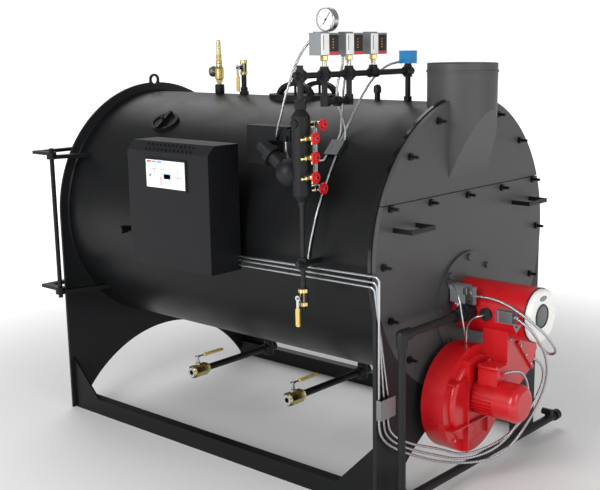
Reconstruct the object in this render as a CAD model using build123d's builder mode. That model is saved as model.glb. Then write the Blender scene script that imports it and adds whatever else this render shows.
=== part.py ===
from build123d import *
import os
from math import cos, hypot, pi, radians, sin, tan

# Horizontal fire-tube boiler with a forced-draught gas burner, in millimetres.
# +X runs from the rear door to the burner, the control panel is on the -Y side, +Z is up.
# The origin is on the floor, under the middle of the shell.

# Shell
shell_radius = 650
shell_wall = 12
axis_height = 1095
rear_plane = -1085
front_plane = 1085
seat_gap = 0.3

# Saddle plates, and the round arches cut into them at the floor
plate_thickness = 12
rear_plate_lip = 50
rear_arch_half_width = 640
rear_arch_strip = 48
front_half_width = 681
front_leg_width = 215
front_arch_radius = 685
front_arch_strip = 64

# Lifting eye on top of the rear plate
eye_radius = 34
eye_hole_radius = 22
eye_rise = 14

# Skid rails and the gussets in their corners
rail_width = 55
rail_height = 86
rail_wall = 6
gusset_leg = 210
gusset_thickness = 10

# Smokebox ring and the two front doors
door_thickness = 20
door_lip = 36
ring_width = 20
ring_lip = 40
seam_rise = 257
door_gap = 4

# Door clamps and handles
clamp_circle_radius = 635
clamp_pitch = 22.5
clamp_count = 6
seam_clamp_pitch = 295
seam_clamp_drop = 23
stud_radius = 7
stud_length = 45
nut_radius = 17
nut_height = 13
handle_width = 171
handle_reach = 100
handle_height = 20
handle_bar = 9
handle_offset = 482
handle_drop = 109

# Stack
stack_x = 1047
stack_radius = 160
stack_wall = 8
stack_rise = 830
stack_foot_rise = 326
stack_slope = 2.45
stack_bead = 4
stack_bead_drop = 40
flue_socket_depth = 130
flue_shoulder = 4

# Burner
burner_drop = 277
burner_plate_radius = 245
burner_plate_thickness = 12
burner_bolt_radius = 220
burner_radius = 125
burner_length = 373
burner_cap = 28
burner_cap_step = 4
window_radius = 38
window_offset = 10
window_depth = 6
peephole_radius = 28
peephole_depth = 14
peephole_x = 1280

# Gas line: inlet on the burner, elbow, riser and the header along the floor
gas_x = 1190
gas_pipe_radius = 17
gas_fitting_radius = 26
gas_riser_y = -640
gas_inlet_radius = 40
gas_inlet_reach = 60
gas_union_reach = 60
gas_union_radius = 29
header_radius = 21
header_height = 70
header_end_y = 745
header_cap_radius = 28
header_cap_length = 36
header_cock_y = 640

# Gas switch box above the inlet, and the damper actuator
switch_box_length = 84
switch_box_height = 80
switch_box_depth = 50
switch_plate_length = 42
actuator_x = 1350
actuator_length = 84
actuator_height = 54
actuator_depth = 42
actuator_rise = 12

# Fan casing, motor and air duct
fan_drop = 393
fan_y = -165
fan_gap = 43
fan_width = 120
fan_radius = 250
dish_radius = 205
dish_depth = 22
motor_rise = 23
motor_radius = 76
motor_rib = 9
motor_rib_count = 28
motor_body = 122
cowl_radius = 87
cowl_length = 120
cowl_fillet = 34
terminal_length = 100
terminal_width = 90
terminal_height = 68
terminal_start = 25
duct_depth = 132
flange_stand = 12
flange_thickness = 8
bracket_plate = 6
bracket_y = -262
bracket_reach = 38
bracket_rise = 205
bracket_drop = 222
shelf_width = 125
shelf_up = 122
shelf_down = 96

# Rear door on its hinge rod
rod_x = -1061
rod_y = -752
rod_radius = 12
rod_clearance = 0.05
rod_overhang = 20
hinge_rise = 342
hinge_drop = 398
bracket_thickness = 20
bracket_width = 40
bracket_boss = 26
bracket_lean = 0.32
arm_thickness = 17
arm_width = 41
arm_gap = 0.5
arm_tail = 145
rear_door_radius = 620
rear_door_thickness = 61
rear_door_gap = 8
strap_end_y = 260

# Control panel
panel_left = -260
panel_right = 296
panel_front = -880
panel_back = -690
panel_drop = 105
panel_height = 584
panel_chamfer = 43
panel_fillet = 3
screen_left = -120
screen_right = 147
screen_drop = 80
screen_height = 128
screen_frame = 8
screen_thickness = 5
button_radius = 5
button_height = 5
button_pitch = 28
button_rows = 12
button_columns = 2
mount_inset = 80
mount_width = 30
mount_height = 240

# Manifold: riser on the crown, header to the water column, drop between two tees
manifold_x = 741
manifold_rise = 140
pipe_radius = 13
fitting_radius = 19
fitting_length = 27
plug_radius = 15
plug_length = 16
column_y = -755
tee_places = (-600, -435, -264)
drop_depth = 115
union_radius = 24
riser_coupling = 22

# Pressure controls, limit control and pressure gauge
control_x_size = 66
control_y_size = 116
control_height = 92
control_hex = 16
control_hex_height = 23
control_nipple = 9
control_nipple_height = 24
control_dome = 36
control_dome_height = 12
limit_size = 60
limit_height = 58
gauge_radius = 50
gauge_depth = 28
gauge_stem = 7
gauge_gap = 6

# Water column
column_radius = 40
column_top_drop = 165
column_length = 335
column_cone = 28
column_union_radius = 26
column_union_height = 36
lug_radius = 18
lug_reach = 46
lug_drop = 30

# Gauge glass beside the column, try cocks and the five handwheels
glass_y = -669
glass_radius = 8
glass_top_drop = 205
glass_bottom_drop = 477
cock_drops = (254, 335, 419)
cock_boss_radius = 22
cock_body_radius = 12
cock_reach = 70
glass_valve_radius = 13
glass_valve_reach = 38
wheel_radius = 25
wheel_thickness = 6
wheel_hub = 8
wheel_holes = 5
wheel_hole_radius = 4.5
spindle_radius = 4
spindle_clearance = 0.1

# Float chamber tilted away from the column, and the switch boxes behind it
bulb_radius = 64
bulb_offset = 66
bulb_drop = 409
chamber_tilt = 34
chamber_radius = 34
chamber_flange_radius = 48
chamber_flange_at = 112
chamber_flange_thickness = 22
chamber_length = 195
switch_back = -610
switch_front = -700
switch_left = 365
switch_width = 138
switch_drop = 392
switch_height = 160
canopy_width = 244
canopy_thickness = 10
relay_width = 124
relay_height = 52
relay_depth = 60
connector_radius = 8
connector_height = 22

# Column drain with its ball valve
drain_radius = 11
drain_cross_drop = 799
drain_valve_drop = 907
drain_valve_length = 80
drain_valve_radius = 22
drain_tail = 20

# Blow-down pipes under the shell, open through their ball valves
blowdown_drop = 743
blowdown_places = (-212, 460)
blowdown_radius = 17
blowdown_end = -575
valve_length = 112
valve_radius = 36
valve_bore = 13
tee_radius = 26
tee_length = 84

# Ball valve levers
lever_thickness = 4
lever_width = 14
lever_hub = 13
grip_width = 20
grip_thickness = 10
stem_radius = 5
stem_boss_radius = 10
blowdown_lever_length = 178
small_lever_length = 126
lever_neck = 42
stem_height = 37

# Safety valve, vent, manway, handhole and plugged nozzles
safety_x = -541
safety_steps = ((24, 48), (11, 12), (15, 16), (21, 66), (14, 62), (11, 82))
outlet_rise = 118
outlet_reach = 46
outlet_radius = 12
outlet_flange = 27
vent_x = -351
vent_pipe_rise = 103
vent_valve_height = 79
vent_stem_reach = 30
manway_x = 80
manway_length = 400
manway_width = 300
manway_rise = 14
yoke_length = 236
yoke_height = 72
yoke_width = 30
yoke_band = 22
yoke_spacing = 150
yoke_shift = 26
yoke_stagger = 16
nozzle_x = 559
nozzle_rise = 61
handhole_x = -544
handhole_angle = 52.6
handhole_length = 180
handhole_width = 130
handhole_rim = 13
side_stub_x = -552
stub_radius = 15
stub_reach = 30
stub_drop = 10
stub_cap = 21
nozzle_radius = 14
nozzle_cap = 28

# Conduits clipped along the shell and down the front
conduit_radius = 5
conduit_y = -703
conduit_lift = 3
conduit_starts = (1053, 1036, 1013)
conduit_rims = (1068, 1043, 1021)
conduit_pitch = 13
conduit_bend = 22
conduit_feet = (-670, -638, -608)
conduit_end = 425
clamp_low = 430
clamp_high = 520
clamp_inner_y = -577
clamp_stand = 25
clamp_sheet = 2
cord_radius = 6
thin_radius = 5.5
gland_radius = 9
junction_x = 685
junction_length = 76
junction_angle = 44.7
junction_width = 84
junction_rise = 16

os.makedirs("parts", exist_ok=True)

rear_back = rear_plane - plate_thickness
door_back = front_plane - door_thickness
ring_back = door_back - ring_width
rear_plate_radius = shell_radius + rear_plate_lip
door_radius = shell_radius + door_lip
ring_radius = shell_radius + ring_lip
crown = axis_height + shell_radius
seam_height = axis_height + seam_rise
burner_height = axis_height - burner_drop
burner_back = front_plane + burner_plate_thickness
burner_end = burner_back + burner_length


def across(x, height=axis_height, y=0):
    """Plane square to the shell axis: its x runs along +Y, its y along +Z."""
    return Plane(origin=(x, y, height), x_dir=(0, 1, 0), z_dir=(1, 0, 0))


def level(x, y, height):
    """Level plane at a point, facing up."""
    return Plane(origin=(x, y, height), x_dir=(1, 0, 0), z_dir=(0, 0, 1))


def sideways(x, y, height, toward=-1):
    """Upright plane along the shell, facing the near side or the far side."""
    return Plane(origin=(x, y, height), x_dir=(1, 0, 0), z_dir=(0, toward, 0))


def disc(plane, radius, length, mode=Mode.ADD):
    """Round bar or disc rising from a plane."""
    with BuildSketch(plane, mode=Mode.PRIVATE) as outline:
        Circle(radius)
    extrude(outline.sketch, amount=length, mode=mode)


def hexagon(plane, radius, length):
    """Six-sided nut or fitting rising from a plane."""
    with BuildSketch(plane, mode=Mode.PRIVATE) as outline:
        RegularPolygon(radius, 6)
    extrude(outline.sketch, amount=length)


def block(x_range, y_range, z_range, mode=Mode.ADD):
    """Straight block between pairs of coordinates."""
    with BuildSketch(Plane.XY.offset(z_range[0]), mode=Mode.PRIVATE) as outline:
        with Locations(((x_range[0] + x_range[1]) / 2, (y_range[0] + y_range[1]) / 2)):
            Rectangle(x_range[1] - x_range[0], y_range[1] - y_range[0])
    extrude(outline.sketch, amount=z_range[1] - z_range[0], mode=mode)


def pipe(points, radius, bend):
    """Round pipe along straight runs joined by bends."""
    with BuildLine(mode=Mode.PRIVATE) as path:
        FilletPolyline(*points, radius=bend)
    with BuildSketch(path.line ^ 0, mode=Mode.PRIVATE) as outline:
        Circle(radius)
    sweep(outline.sketch, path=path.line)


def gland(x, y, height, turn=0):
    """Round swivel gland at the place where a conduit leaves a box."""
    with Locations((x, y, height)):
        Sphere(gland_radius, rotation=(0, 0, turn))


def shell_room(radius, x_from, x_to):
    """Takes away what would lie inside a cylinder on the shell axis."""
    disc(across(x_from), radius, x_to - x_from, mode=Mode.SUBTRACT)


# Boiler shell: a rolled tube between the rear plate and the front doors
with BuildPart() as shell:
    disc(across(rear_plane), shell_radius, door_back - rear_plane)
    disc(across(rear_plane), shell_radius - shell_wall, door_back - rear_plane, mode=Mode.SUBTRACT)
shell.part.label = "shell"
export_step(shell.part, "parts/shell.step")

# Rear saddle plate: a half disc over straight legs, arched at the floor, with the lifting eye
with BuildPart() as rear_saddle_plate:
    rear_arch_rise = axis_height - rear_plate_radius - rear_arch_strip
    rear_arch_radius = (rear_arch_half_width**2 + rear_arch_rise**2) / (2 * rear_arch_rise)
    with BuildSketch(across(rear_back)):
        Circle(rear_plate_radius)
        with Locations((0, -axis_height / 2)):
            Rectangle(2 * rear_plate_radius, axis_height)
        with Locations((0, rear_arch_rise - rear_arch_radius - axis_height)):
            Circle(rear_arch_radius, mode=Mode.SUBTRACT)
        with Locations((0, rear_plate_radius + eye_rise)):
            Circle(eye_radius)
        with Locations((0, rear_plate_radius)):
            Rectangle(2 * eye_radius, 2 * eye_rise)
        with Locations((0, rear_plate_radius + eye_rise)):
            Circle(eye_hole_radius, mode=Mode.SUBTRACT)
    extrude(amount=plate_thickness)
rear_saddle_plate.part.label = "rear_saddle_plate"
export_step(rear_saddle_plate.part, "parts/rear_saddle_plate.step")

# Front saddle plate: flush with the doors and cut out round them
with BuildPart() as front_saddle_plate:
    front_arch_rise = axis_height - door_radius - front_arch_strip
    front_leg_inner = front_half_width - front_leg_width
    with BuildSketch(across(door_back, 0)):
        with Locations((0, axis_height / 2)):
            Rectangle(2 * front_half_width, axis_height)
        with Locations((0, axis_height)):
            Circle(door_radius + seat_gap, mode=Mode.SUBTRACT)
        with BuildSketch(mode=Mode.PRIVATE) as front_arch:
            with Locations((0, front_arch_rise - front_arch_radius)):
                Circle(front_arch_radius)
            with Locations((0, front_arch_rise / 2)):
                Rectangle(2 * front_leg_inner, front_arch_rise, mode=Mode.INTERSECT)
        add(front_arch.sketch, mode=Mode.SUBTRACT)
    extrude(amount=door_thickness)
front_saddle_plate.part.label = "front_saddle_plate"
export_step(front_saddle_plate.part, "parts/front_saddle_plate.step")

# Two box-section skid rails between the plates' legs, with triangular gussets in the corners
rail_y = front_half_width - rail_width / 2
with BuildPart() as skid_rails:
    with BuildSketch(across(rear_plane, rail_height / 2)):
        with Locations((rail_y, 0), (-rail_y, 0)):
            Rectangle(rail_width, rail_height)
            Rectangle(rail_width - 2 * rail_wall, rail_height - 2 * rail_wall, mode=Mode.SUBTRACT)
    extrude(amount=door_back - rear_plane)
    for side in (1, -1):
        gusset_y = side * (front_half_width - gusset_thickness / 2)
        with BuildSketch(sideways(0, gusset_y, rail_height)):
            with BuildLine():
                Polyline((rear_plane, 0), (rear_plane + gusset_leg, 0), (rear_plane, gusset_leg), close=True)
            make_face()
            with BuildLine():
                Polyline((door_back, 0), (door_back, gusset_leg), (door_back - gusset_leg, 0), close=True)
            make_face()
        extrude(amount=gusset_thickness / 2, both=True)
skid_rails.part.label = "skid_rails"
export_step(skid_rails.part, "parts/skid_rails.step")

# Smokebox ring round the shell behind the doors
with BuildPart() as smokebox_ring:
    disc(across(ring_back), ring_radius, ring_width)
    shell_room(shell_radius, ring_back, door_back)
smokebox_ring.part.label = "smokebox_ring"
export_step(smokebox_ring.part, "parts/smokebox_ring.step")

# Round front split at the seam into an upper and a lower door
with BuildPart() as upper_front_door:
    disc(across(door_back), door_radius, door_thickness)
    split(bisect_by=Plane.XY.offset(seam_height + door_gap / 2), keep=Keep.TOP)
upper_front_door.part.label = "upper_front_door"
export_step(upper_front_door.part, "parts/upper_front_door.step")

with BuildPart() as lower_front_door:
    disc(across(door_back), door_radius, door_thickness)
    split(bisect_by=Plane.XY.offset(seam_height - door_gap / 2), keep=Keep.BOTTOM)
lower_front_door.part.label = "lower_front_door"
export_step(lower_front_door.part, "parts/lower_front_door.step")

# Clamps round the doors, along the seam and on the burner plate, and two bent handles
clamp_places = []
for side in (1, -1):
    for step in range(1, clamp_count + 1):
        turn = radians(step * clamp_pitch)
        clamp_places.append((side * clamp_circle_radius * sin(turn), clamp_circle_radius * cos(turn)))
for step in (-1, 0, 1):
    clamp_places.append((step * seam_clamp_pitch, seam_rise - seam_clamp_drop))
with BuildPart() as door_hardware:
    for y, rise in clamp_places:
        hexagon(across(front_plane, axis_height + rise, y), nut_radius, nut_height)
        disc(across(front_plane, axis_height + rise, y), stud_radius, stud_length)
    for side in (1, -1):
        with BuildSketch(level(front_plane, side * handle_offset, seam_height - handle_drop)):
            with Locations((handle_reach / 2, 0)):
                Rectangle(handle_reach, handle_width)
            with Locations(((handle_reach - handle_bar) / 2, 0)):
                Rectangle(handle_reach - handle_bar, handle_width - 2 * handle_bar, mode=Mode.SUBTRACT)
        extrude(amount=handle_height / 2, both=True)
door_hardware.part.label = "door_hardware"
export_step(door_hardware.part, "parts/door_hardware.step")

# Stack: a tube let over the crown and the doors, closed in front by a sloping floor, with a socket
# and a shoulder inside its top for the flue pipe
stack_foot = axis_height + stack_foot_rise
stack_top = axis_height + stack_rise


def below_slope(lift):
    """Takes away what lies below the sloping floor, raised by a lift."""
    toe = stack_x + 2 * stack_radius
    with BuildSketch(sideways(0, 2 * stack_radius, lift), mode=Mode.PRIVATE) as outline:
        with BuildLine():
            Polyline((0, stack_foot - stack_slope * front_plane),
                     (toe, stack_foot + stack_slope * (toe - front_plane)), (toe, -stack_top), (0, -stack_top * 2),
                     close=True)
        make_face()
    extrude(outline.sketch, amount=4 * stack_radius, mode=Mode.SUBTRACT)


with BuildPart() as stack:
    disc(level(stack_x, 0, stack_foot), stack_radius, stack_top - stack_foot)
    disc(level(stack_x, 0, stack_top - stack_bead_drop), stack_radius + stack_bead, 2 * stack_bead)
    below_slope(0)
    with BuildPart(mode=Mode.PRIVATE) as flue:
        disc(level(stack_x, 0, stack_foot), stack_radius - stack_wall - flue_shoulder, stack_top - stack_foot)
        below_slope(stack_wall * hypot(1, stack_slope))
    add(flue.part, mode=Mode.SUBTRACT)
    disc(level(stack_x, 0, stack_top - flue_socket_depth), stack_radius - stack_wall, flue_socket_depth,
         mode=Mode.SUBTRACT)
    shell_room(shell_radius, rear_plane, ring_back)
    shell_room(ring_radius, ring_back, door_back)
    shell_room(door_radius, door_back, front_plane)
stack.part.label = "stack"
export_step(stack.part, "parts/stack.step")

# Burner mounting plate with its bolts, housing and end cap with its window, on one axis
with BuildPart() as burner_plate:
    disc(across(front_plane, burner_height), burner_plate_radius, burner_plate_thickness)
    with BuildSketch(across(burner_back, burner_height)):
        with PolarLocations(burner_bolt_radius, 8):
            RegularPolygon(nut_radius, 6)
    extrude(amount=nut_height)
burner_plate.part.label = "burner_plate"
export_step(burner_plate.part, "parts/burner_plate.step")

with BuildPart() as burner_housing:
    disc(across(burner_back, burner_height), burner_radius, burner_length)
    disc(sideways(peephole_x, 0, burner_height), peephole_radius, burner_radius + peephole_depth)
    housing_gland = (burner_end - 34, 45, burner_height - burner_radius + 3)
    gland(*housing_gland)
burner_housing.part.label = "burner_housing"
export_step(burner_housing.part, "parts/burner_housing.step")

with BuildPart() as burner_end_cap:
    disc(across(burner_end, burner_height), burner_radius - burner_cap_step, burner_cap)
    fillet(burner_end_cap.edges().sort_by(Axis.X)[-1], burner_cap / 2)
    disc(across(burner_end + burner_cap - window_depth, burner_height - window_offset), window_radius,
         window_depth, mode=Mode.SUBTRACT)
burner_end_cap.part.label = "burner_end_cap"
export_step(burner_end_cap.part, "parts/burner_end_cap.step")

# Fan casing: a drum with a shallow dish in front and the bracket plates of the motor
fan_height = axis_height - fan_drop - burner_drop
fan_back = front_plane + fan_gap
fan_front = fan_back + fan_width
with BuildPart() as fan_casing:
    disc(across(fan_back, fan_height, fan_y), fan_radius, fan_width)
    disc(across(fan_front, fan_height, fan_y), dish_radius, dish_depth)
    fillet(fan_casing.edges().sort_by(Axis.X)[-1], dish_depth - 1)
    block((fan_front, fan_front + bracket_reach), (bracket_y - bracket_plate, bracket_y),
          (fan_height - bracket_drop, fan_height + bracket_rise))
    for lift in (shelf_up, -shelf_down):
        block((fan_front, fan_front + bracket_reach), (bracket_y - shelf_width, bracket_y),
              (fan_height + lift, fan_height + lift + bracket_plate))
    block((fan_front, fan_front + bracket_reach), (bracket_y, bracket_y + 2 * shelf_width),
          (fan_height - shelf_down, fan_height - shelf_down + bracket_plate))
fan_casing.part.label = "fan_casing"
export_step(fan_casing.part, "parts/fan_casing.step")

# Motor: ribbed body, rounded cowl and the terminal box on top
motor_height = fan_height + motor_rise
motor_back = fan_front + dish_depth
with BuildPart() as fan_motor:
    disc(across(motor_back, motor_height, fan_y), motor_radius, motor_body)
    with BuildSketch(across(motor_back + motor_rib, motor_height, fan_y)):
        with PolarLocations(motor_radius + motor_rib / 2 - 1, motor_rib_count):
            Rectangle(motor_rib + 2, motor_rib / 2)
    extrude(amount=motor_body - motor_rib)
    disc(across(motor_back + motor_body, motor_height, fan_y), cowl_radius, cowl_length)
    fillet(fan_motor.edges().sort_by(Axis.X)[-1], cowl_fillet)
    terminal_x = motor_back + terminal_start
    block((terminal_x, terminal_x + terminal_length), (fan_y - terminal_width / 2, fan_y + terminal_width / 2),
          (motor_height + motor_radius / 2, motor_height + cowl_radius + terminal_height))
    chamfer(fan_motor.edges().filter_by(Axis.X).group_by(Axis.Z)[-1], terminal_height / 4)
    motor_gland = (terminal_x + terminal_length + 2, fan_y, motor_height + cowl_radius + terminal_height / 2)
    gland(*motor_gland)
fan_motor.part.label = "fan_motor"
export_step(fan_motor.part, "parts/fan_motor.step")

# Air duct from the casing's front up to the burner housing, with its slanting flange
duct_front = fan_front + duct_depth
duct_outline = [(-100, 0), (-104, -306), (4, -355), (115, -289), (164, -205), (93, 0)]
flange_ends = [(-23, -134), (115, -289)]
with BuildPart() as burner_air_duct:
    with BuildSketch(across(fan_front, burner_height)):
        with BuildLine():
            Polyline(*duct_outline, close=True)
        make_face()
    extrude(amount=duct_depth)
    with BuildSketch(across(duct_front - 3 * flange_stand, burner_height)):
        with BuildLine():
            Line(*flange_ends)
        trace(line_width=2 * flange_thickness)
    extrude(amount=4 * flange_stand)
    disc(across(fan_front, burner_height), burner_radius, burner_length, mode=Mode.SUBTRACT)
    disc(across(fan_front, fan_height, fan_y), dish_radius, dish_depth, mode=Mode.SUBTRACT)
    duct_gland = (duct_front - 40, 140, burner_height - 247)
    gland(*duct_gland)
burner_air_duct.part.label = "burner_air_duct"
export_step(burner_air_duct.part, "parts/burner_air_duct.step")

# Gas line: inlet flange on the housing, elbow, riser and the header along the floor
with BuildPart() as gas_pipework:
    disc(sideways(gas_x, 0, burner_height), gas_inlet_radius, burner_radius + gas_inlet_reach)
    disc(sideways(gas_x, 0, burner_height), gas_union_radius, burner_radius + gas_inlet_reach + gas_union_reach)
    disc(sideways(gas_x, 0, burner_height), gas_pipe_radius, -gas_riser_y)
    disc(level(gas_x, gas_riser_y, header_height), gas_pipe_radius, burner_height - header_height)
    with Locations((gas_x, gas_riser_y, burner_height)):
        Sphere(gas_fitting_radius + 1)
    disc(sideways(gas_x, gas_riser_y, burner_height, 1), gas_fitting_radius, 2 * gas_fitting_radius)
    disc(level(gas_x, gas_riser_y, burner_height - 2 * gas_fitting_radius), gas_fitting_radius,
         2 * gas_fitting_radius)
    disc(level(gas_x, gas_riser_y, header_height), gas_fitting_radius, 2 * gas_fitting_radius)
    header_start_y = gas_riser_y - header_cap_radius - 1
    disc(sideways(gas_x, header_start_y, header_height, 1), header_radius, header_end_y - header_start_y)
    disc(sideways(gas_x, header_start_y, header_height, 1), header_cap_radius, header_cap_length)
    disc(sideways(gas_x, header_end_y - header_cap_length, header_height, 1), header_cap_radius,
         header_cap_length)
    disc(level(gas_x, header_cock_y, header_height), pipe_radius, 2 * header_radius)
    disc(across(gas_x - header_cap_radius, header_height + 2 * header_radius, header_cock_y), nut_radius,
         2 * header_cap_radius)
    disc(across(burner_back, burner_height), burner_radius, burner_length, mode=Mode.SUBTRACT)
gas_pipework.part.label = "gas_pipework"
export_step(gas_pipework.part, "parts/gas_pipework.step")

# Gas switch box standing on the inlet, and the damper actuator on the housing's side
with BuildPart() as burner_controls:
    switch_foot = burner_height + gas_inlet_radius + seat_gap
    switch_near = -burner_radius - switch_box_depth + nut_height
    block((gas_x - switch_box_length, gas_x), (switch_near, switch_near + switch_box_depth),
          (switch_foot, switch_foot + switch_box_height))
    block((gas_x, gas_x + switch_plate_length), (switch_near, switch_near + switch_box_depth / 2),
          (switch_foot, switch_foot + switch_box_height))
    switch_gland = (gas_x + switch_plate_length + 2, switch_near + switch_box_depth / 4,
                    switch_foot + switch_box_height / 2)
    gland(*switch_gland)
    block((actuator_x, actuator_x + actuator_length), (-burner_radius - actuator_depth, 0),
          (burner_height + actuator_rise - actuator_height / 2, burner_height + actuator_rise + actuator_height / 2))
    disc(across(actuator_x + actuator_length, burner_height + actuator_rise, -burner_radius - actuator_depth / 2),
         connector_radius, connector_height / 2)
    actuator_gland = (actuator_x + actuator_length + connector_height / 2, -burner_radius - actuator_depth / 2,
                      burner_height + actuator_rise)
    gland(*actuator_gland)
    disc(across(burner_back, burner_height), burner_radius + seat_gap, burner_length, mode=Mode.SUBTRACT)
burner_controls.part.label = "burner_controls"
export_step(burner_controls.part, "parts/burner_controls.step")

# Control panel: a sheet cabinet with a chamfered desk edge and two rows of buttons
panel_bottom = axis_height - panel_drop
panel_top = panel_bottom + panel_height
with BuildPart() as control_panel:
    with BuildSketch(Plane.YZ.offset(panel_left)):
        with BuildLine():
            Polyline((panel_back, panel_bottom), (panel_front, panel_bottom),
                     (panel_front, panel_top - panel_chamfer),
                     (panel_front + panel_chamfer, panel_top), (panel_back, panel_top), close=True)
        make_face()
    extrude(amount=panel_right - panel_left)
    fillet(control_panel.edges().filter_by(GeomType.LINE).filter_by(Axis.Z), panel_fillet)
    desk = Plane(origin=((panel_left + panel_right) / 2, panel_front + panel_chamfer / 2,
                         panel_top - panel_chamfer / 2), x_dir=(1, 0, 0), z_dir=(0, -1, 1))
    with BuildSketch(desk):
        with GridLocations(button_pitch, button_pitch, button_rows, button_columns):
            Circle(button_radius)
    extrude(amount=button_height)
control_panel.part.label = "control_panel"
export_step(control_panel.part, "parts/control_panel.step")

with BuildPart() as panel_screen:
    screen_top = panel_top - screen_drop
    block((screen_left - screen_frame, screen_right + screen_frame), (panel_front - screen_thickness, panel_front),
          (screen_top - screen_height - screen_frame, screen_top + screen_frame))
panel_screen.part.label = "panel_screen"
export_step(panel_screen.part, "parts/panel_screen.step")

# Two strips that carry the panel on the shell's side
with BuildPart() as panel_mounts:
    for mount_x in (panel_left + mount_inset, panel_right - mount_inset):
        block((mount_x - mount_width / 2, mount_x + mount_width / 2), (panel_back, 0),
              (axis_height - mount_height / 4, axis_height + 3 * mount_height / 4))
    shell_room(shell_radius, rear_plane, door_back)
panel_mounts.part.label = "panel_mounts"
export_step(panel_mounts.part, "parts/panel_mounts.step")

# Two bracket bars welded to the shell, with bosses for the hinge rod
hinge_tops = (axis_height + hinge_rise, axis_height - hinge_drop)
with BuildPart() as rear_hinge_brackets:
    for hinge_top in hinge_tops:
        with BuildSketch(Plane.XY.offset(hinge_top - bracket_thickness)):
            with Locations((rod_x, rod_y)):
                Circle(bracket_boss)
            with BuildLine():
                Line((rod_x, rod_y), (rod_x - bracket_lean * rod_y, 0))
            trace(line_width=bracket_width)
            with Locations((rod_x, rod_y)):
                Circle(rod_radius + rod_clearance, mode=Mode.SUBTRACT)
        extrude(amount=bracket_thickness)
    shell_room(shell_radius, rear_plane, door_back)
rear_hinge_brackets.part.label = "rear_hinge_brackets"
export_step(rear_hinge_brackets.part, "parts/rear_hinge_brackets.step")

# Rear door: the rod, the arms round the edge of the rear plate and the dished round door
door_face = rear_back - rear_door_gap
with BuildPart() as rear_door:
    disc(across(door_face - rear_door_thickness), rear_door_radius, rear_door_thickness)
    rod_bottom = hinge_tops[1] - bracket_thickness - rod_overhang
    rod_top = hinge_tops[0] + arm_gap + arm_thickness + rod_overhang
    disc(level(rod_x, rod_y, rod_bottom), rod_radius, rod_top - rod_bottom)
    for hinge_top in hinge_tops:
        arm_foot = hinge_top + arm_gap
        strap_front = door_face - rear_door_thickness
        disc(level(rod_x, rod_y, arm_foot), bracket_boss, arm_thickness)
        block((rod_x - arm_tail, rod_x), (rod_y - arm_width / 2, rod_y + arm_width / 2),
              (arm_foot, arm_foot + arm_thickness))
        block((rod_x - arm_tail, strap_front), (rod_y - arm_width / 2, strap_end_y),
              (arm_foot, arm_foot + arm_thickness))
rear_door.part.label = "rear_door"
export_step(rear_door.part, "parts/rear_door.step")

# Manifold: riser with its cross, header with tees, the drop between two tees and the column leg
header_height_z = crown + manifold_rise
column_top = axis_height + shell_radius - column_top_drop + manifold_rise
with BuildPart() as manifold_pipework:
    disc(level(manifold_x, 0, crown), pipe_radius, manifold_rise)
    disc(level(manifold_x, 0, crown), fitting_radius, riser_coupling)
    disc(sideways(manifold_x, 0, header_height_z), pipe_radius, -column_y)
    for cross_y, toward in ((0, 1), (column_y, -1)):
        disc(level(manifold_x, cross_y, header_height_z - fitting_length), fitting_radius, 2 * fitting_length)
        disc(sideways(manifold_x, cross_y - toward * fitting_length, header_height_z, toward), fitting_radius,
             2 * fitting_length)
        hexagon(sideways(manifold_x, cross_y + toward * fitting_length, header_height_z, toward), plug_radius,
                plug_length / 2)
    hexagon(level(manifold_x, column_y, header_height_z + fitting_length), plug_radius, plug_length)
    for tee_y in tee_places:
        disc(sideways(manifold_x, tee_y + fitting_length, header_height_z), fitting_radius, 2 * fitting_length)
        disc(level(manifold_x, tee_y, header_height_z), fitting_radius, fitting_length + plug_length / 2)
    for tee_y in tee_places[:2]:
        disc(level(manifold_x, tee_y, header_height_z - fitting_length), fitting_radius, fitting_length)
        disc(level(manifold_x, tee_y, header_height_z - drop_depth - fitting_radius), pipe_radius, drop_depth)
        disc(level(manifold_x, tee_y, header_height_z - drop_depth - fitting_radius), fitting_radius,
             fitting_length + fitting_radius)
    drop_plane = sideways(manifold_x, tee_places[1], header_height_z - drop_depth)
    disc(drop_plane, pipe_radius, tee_places[1] - tee_places[0])
    union_plane = drop_plane.offset((tee_places[1] - tee_places[0]) / 2 - fitting_length / 2)
    hexagon(union_plane, union_radius, fitting_length)
    disc(drop_plane, fitting_radius, fitting_length)
    disc(drop_plane.offset(tee_places[1] - tee_places[0] - fitting_length), fitting_radius, fitting_length)
    leg_foot = column_top + column_cone + column_union_height
    disc(level(manifold_x, column_y, leg_foot), pipe_radius, header_height_z - leg_foot)
manifold_pipework.part.label = "manifold_pipework"
export_step(manifold_pipework.part, "parts/manifold_pipework.step")

# Pressure controls: boxes with a low dome, on a hexagon and a nipple over each tee
tee_top = header_height_z + fitting_length + plug_length / 2
control_foot = tee_top + control_nipple_height + control_hex_height
level_gland = (manifold_x - control_x_size / 2 - 2, tee_places[0] - 33, control_foot + 73)
near_gland = (manifold_x - 23, tee_places[1] - 13, control_foot - gland_radius)
far_gland = (manifold_x - 23, tee_places[1] + 23, control_foot - gland_radius)
with BuildPart() as pressure_controls:
    for tee_y in tee_places:
        block((manifold_x - control_x_size / 2, manifold_x + control_x_size / 2),
              (tee_y - control_y_size / 2, tee_y + control_y_size / 2), (control_foot, control_foot + control_height))
        disc(level(manifold_x, tee_y, tee_top), control_nipple, control_nipple_height + control_hex_height)
        hexagon(level(manifold_x, tee_y, tee_top + control_nipple_height), control_hex, control_hex_height)
        dome_y = tee_y - control_y_size / 2 + control_dome
        disc(level(manifold_x, dome_y, control_foot + control_height), control_x_size / 2 - 1,
             control_dome_height / 2)
    gland(*level_gland, turn=180)
    for place in (near_gland, far_gland):
        disc(level(*place), gland_radius, 2 * gland_radius)
pressure_controls.part.label = "pressure_controls"
export_step(pressure_controls.part, "parts/pressure_controls.step")

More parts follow.
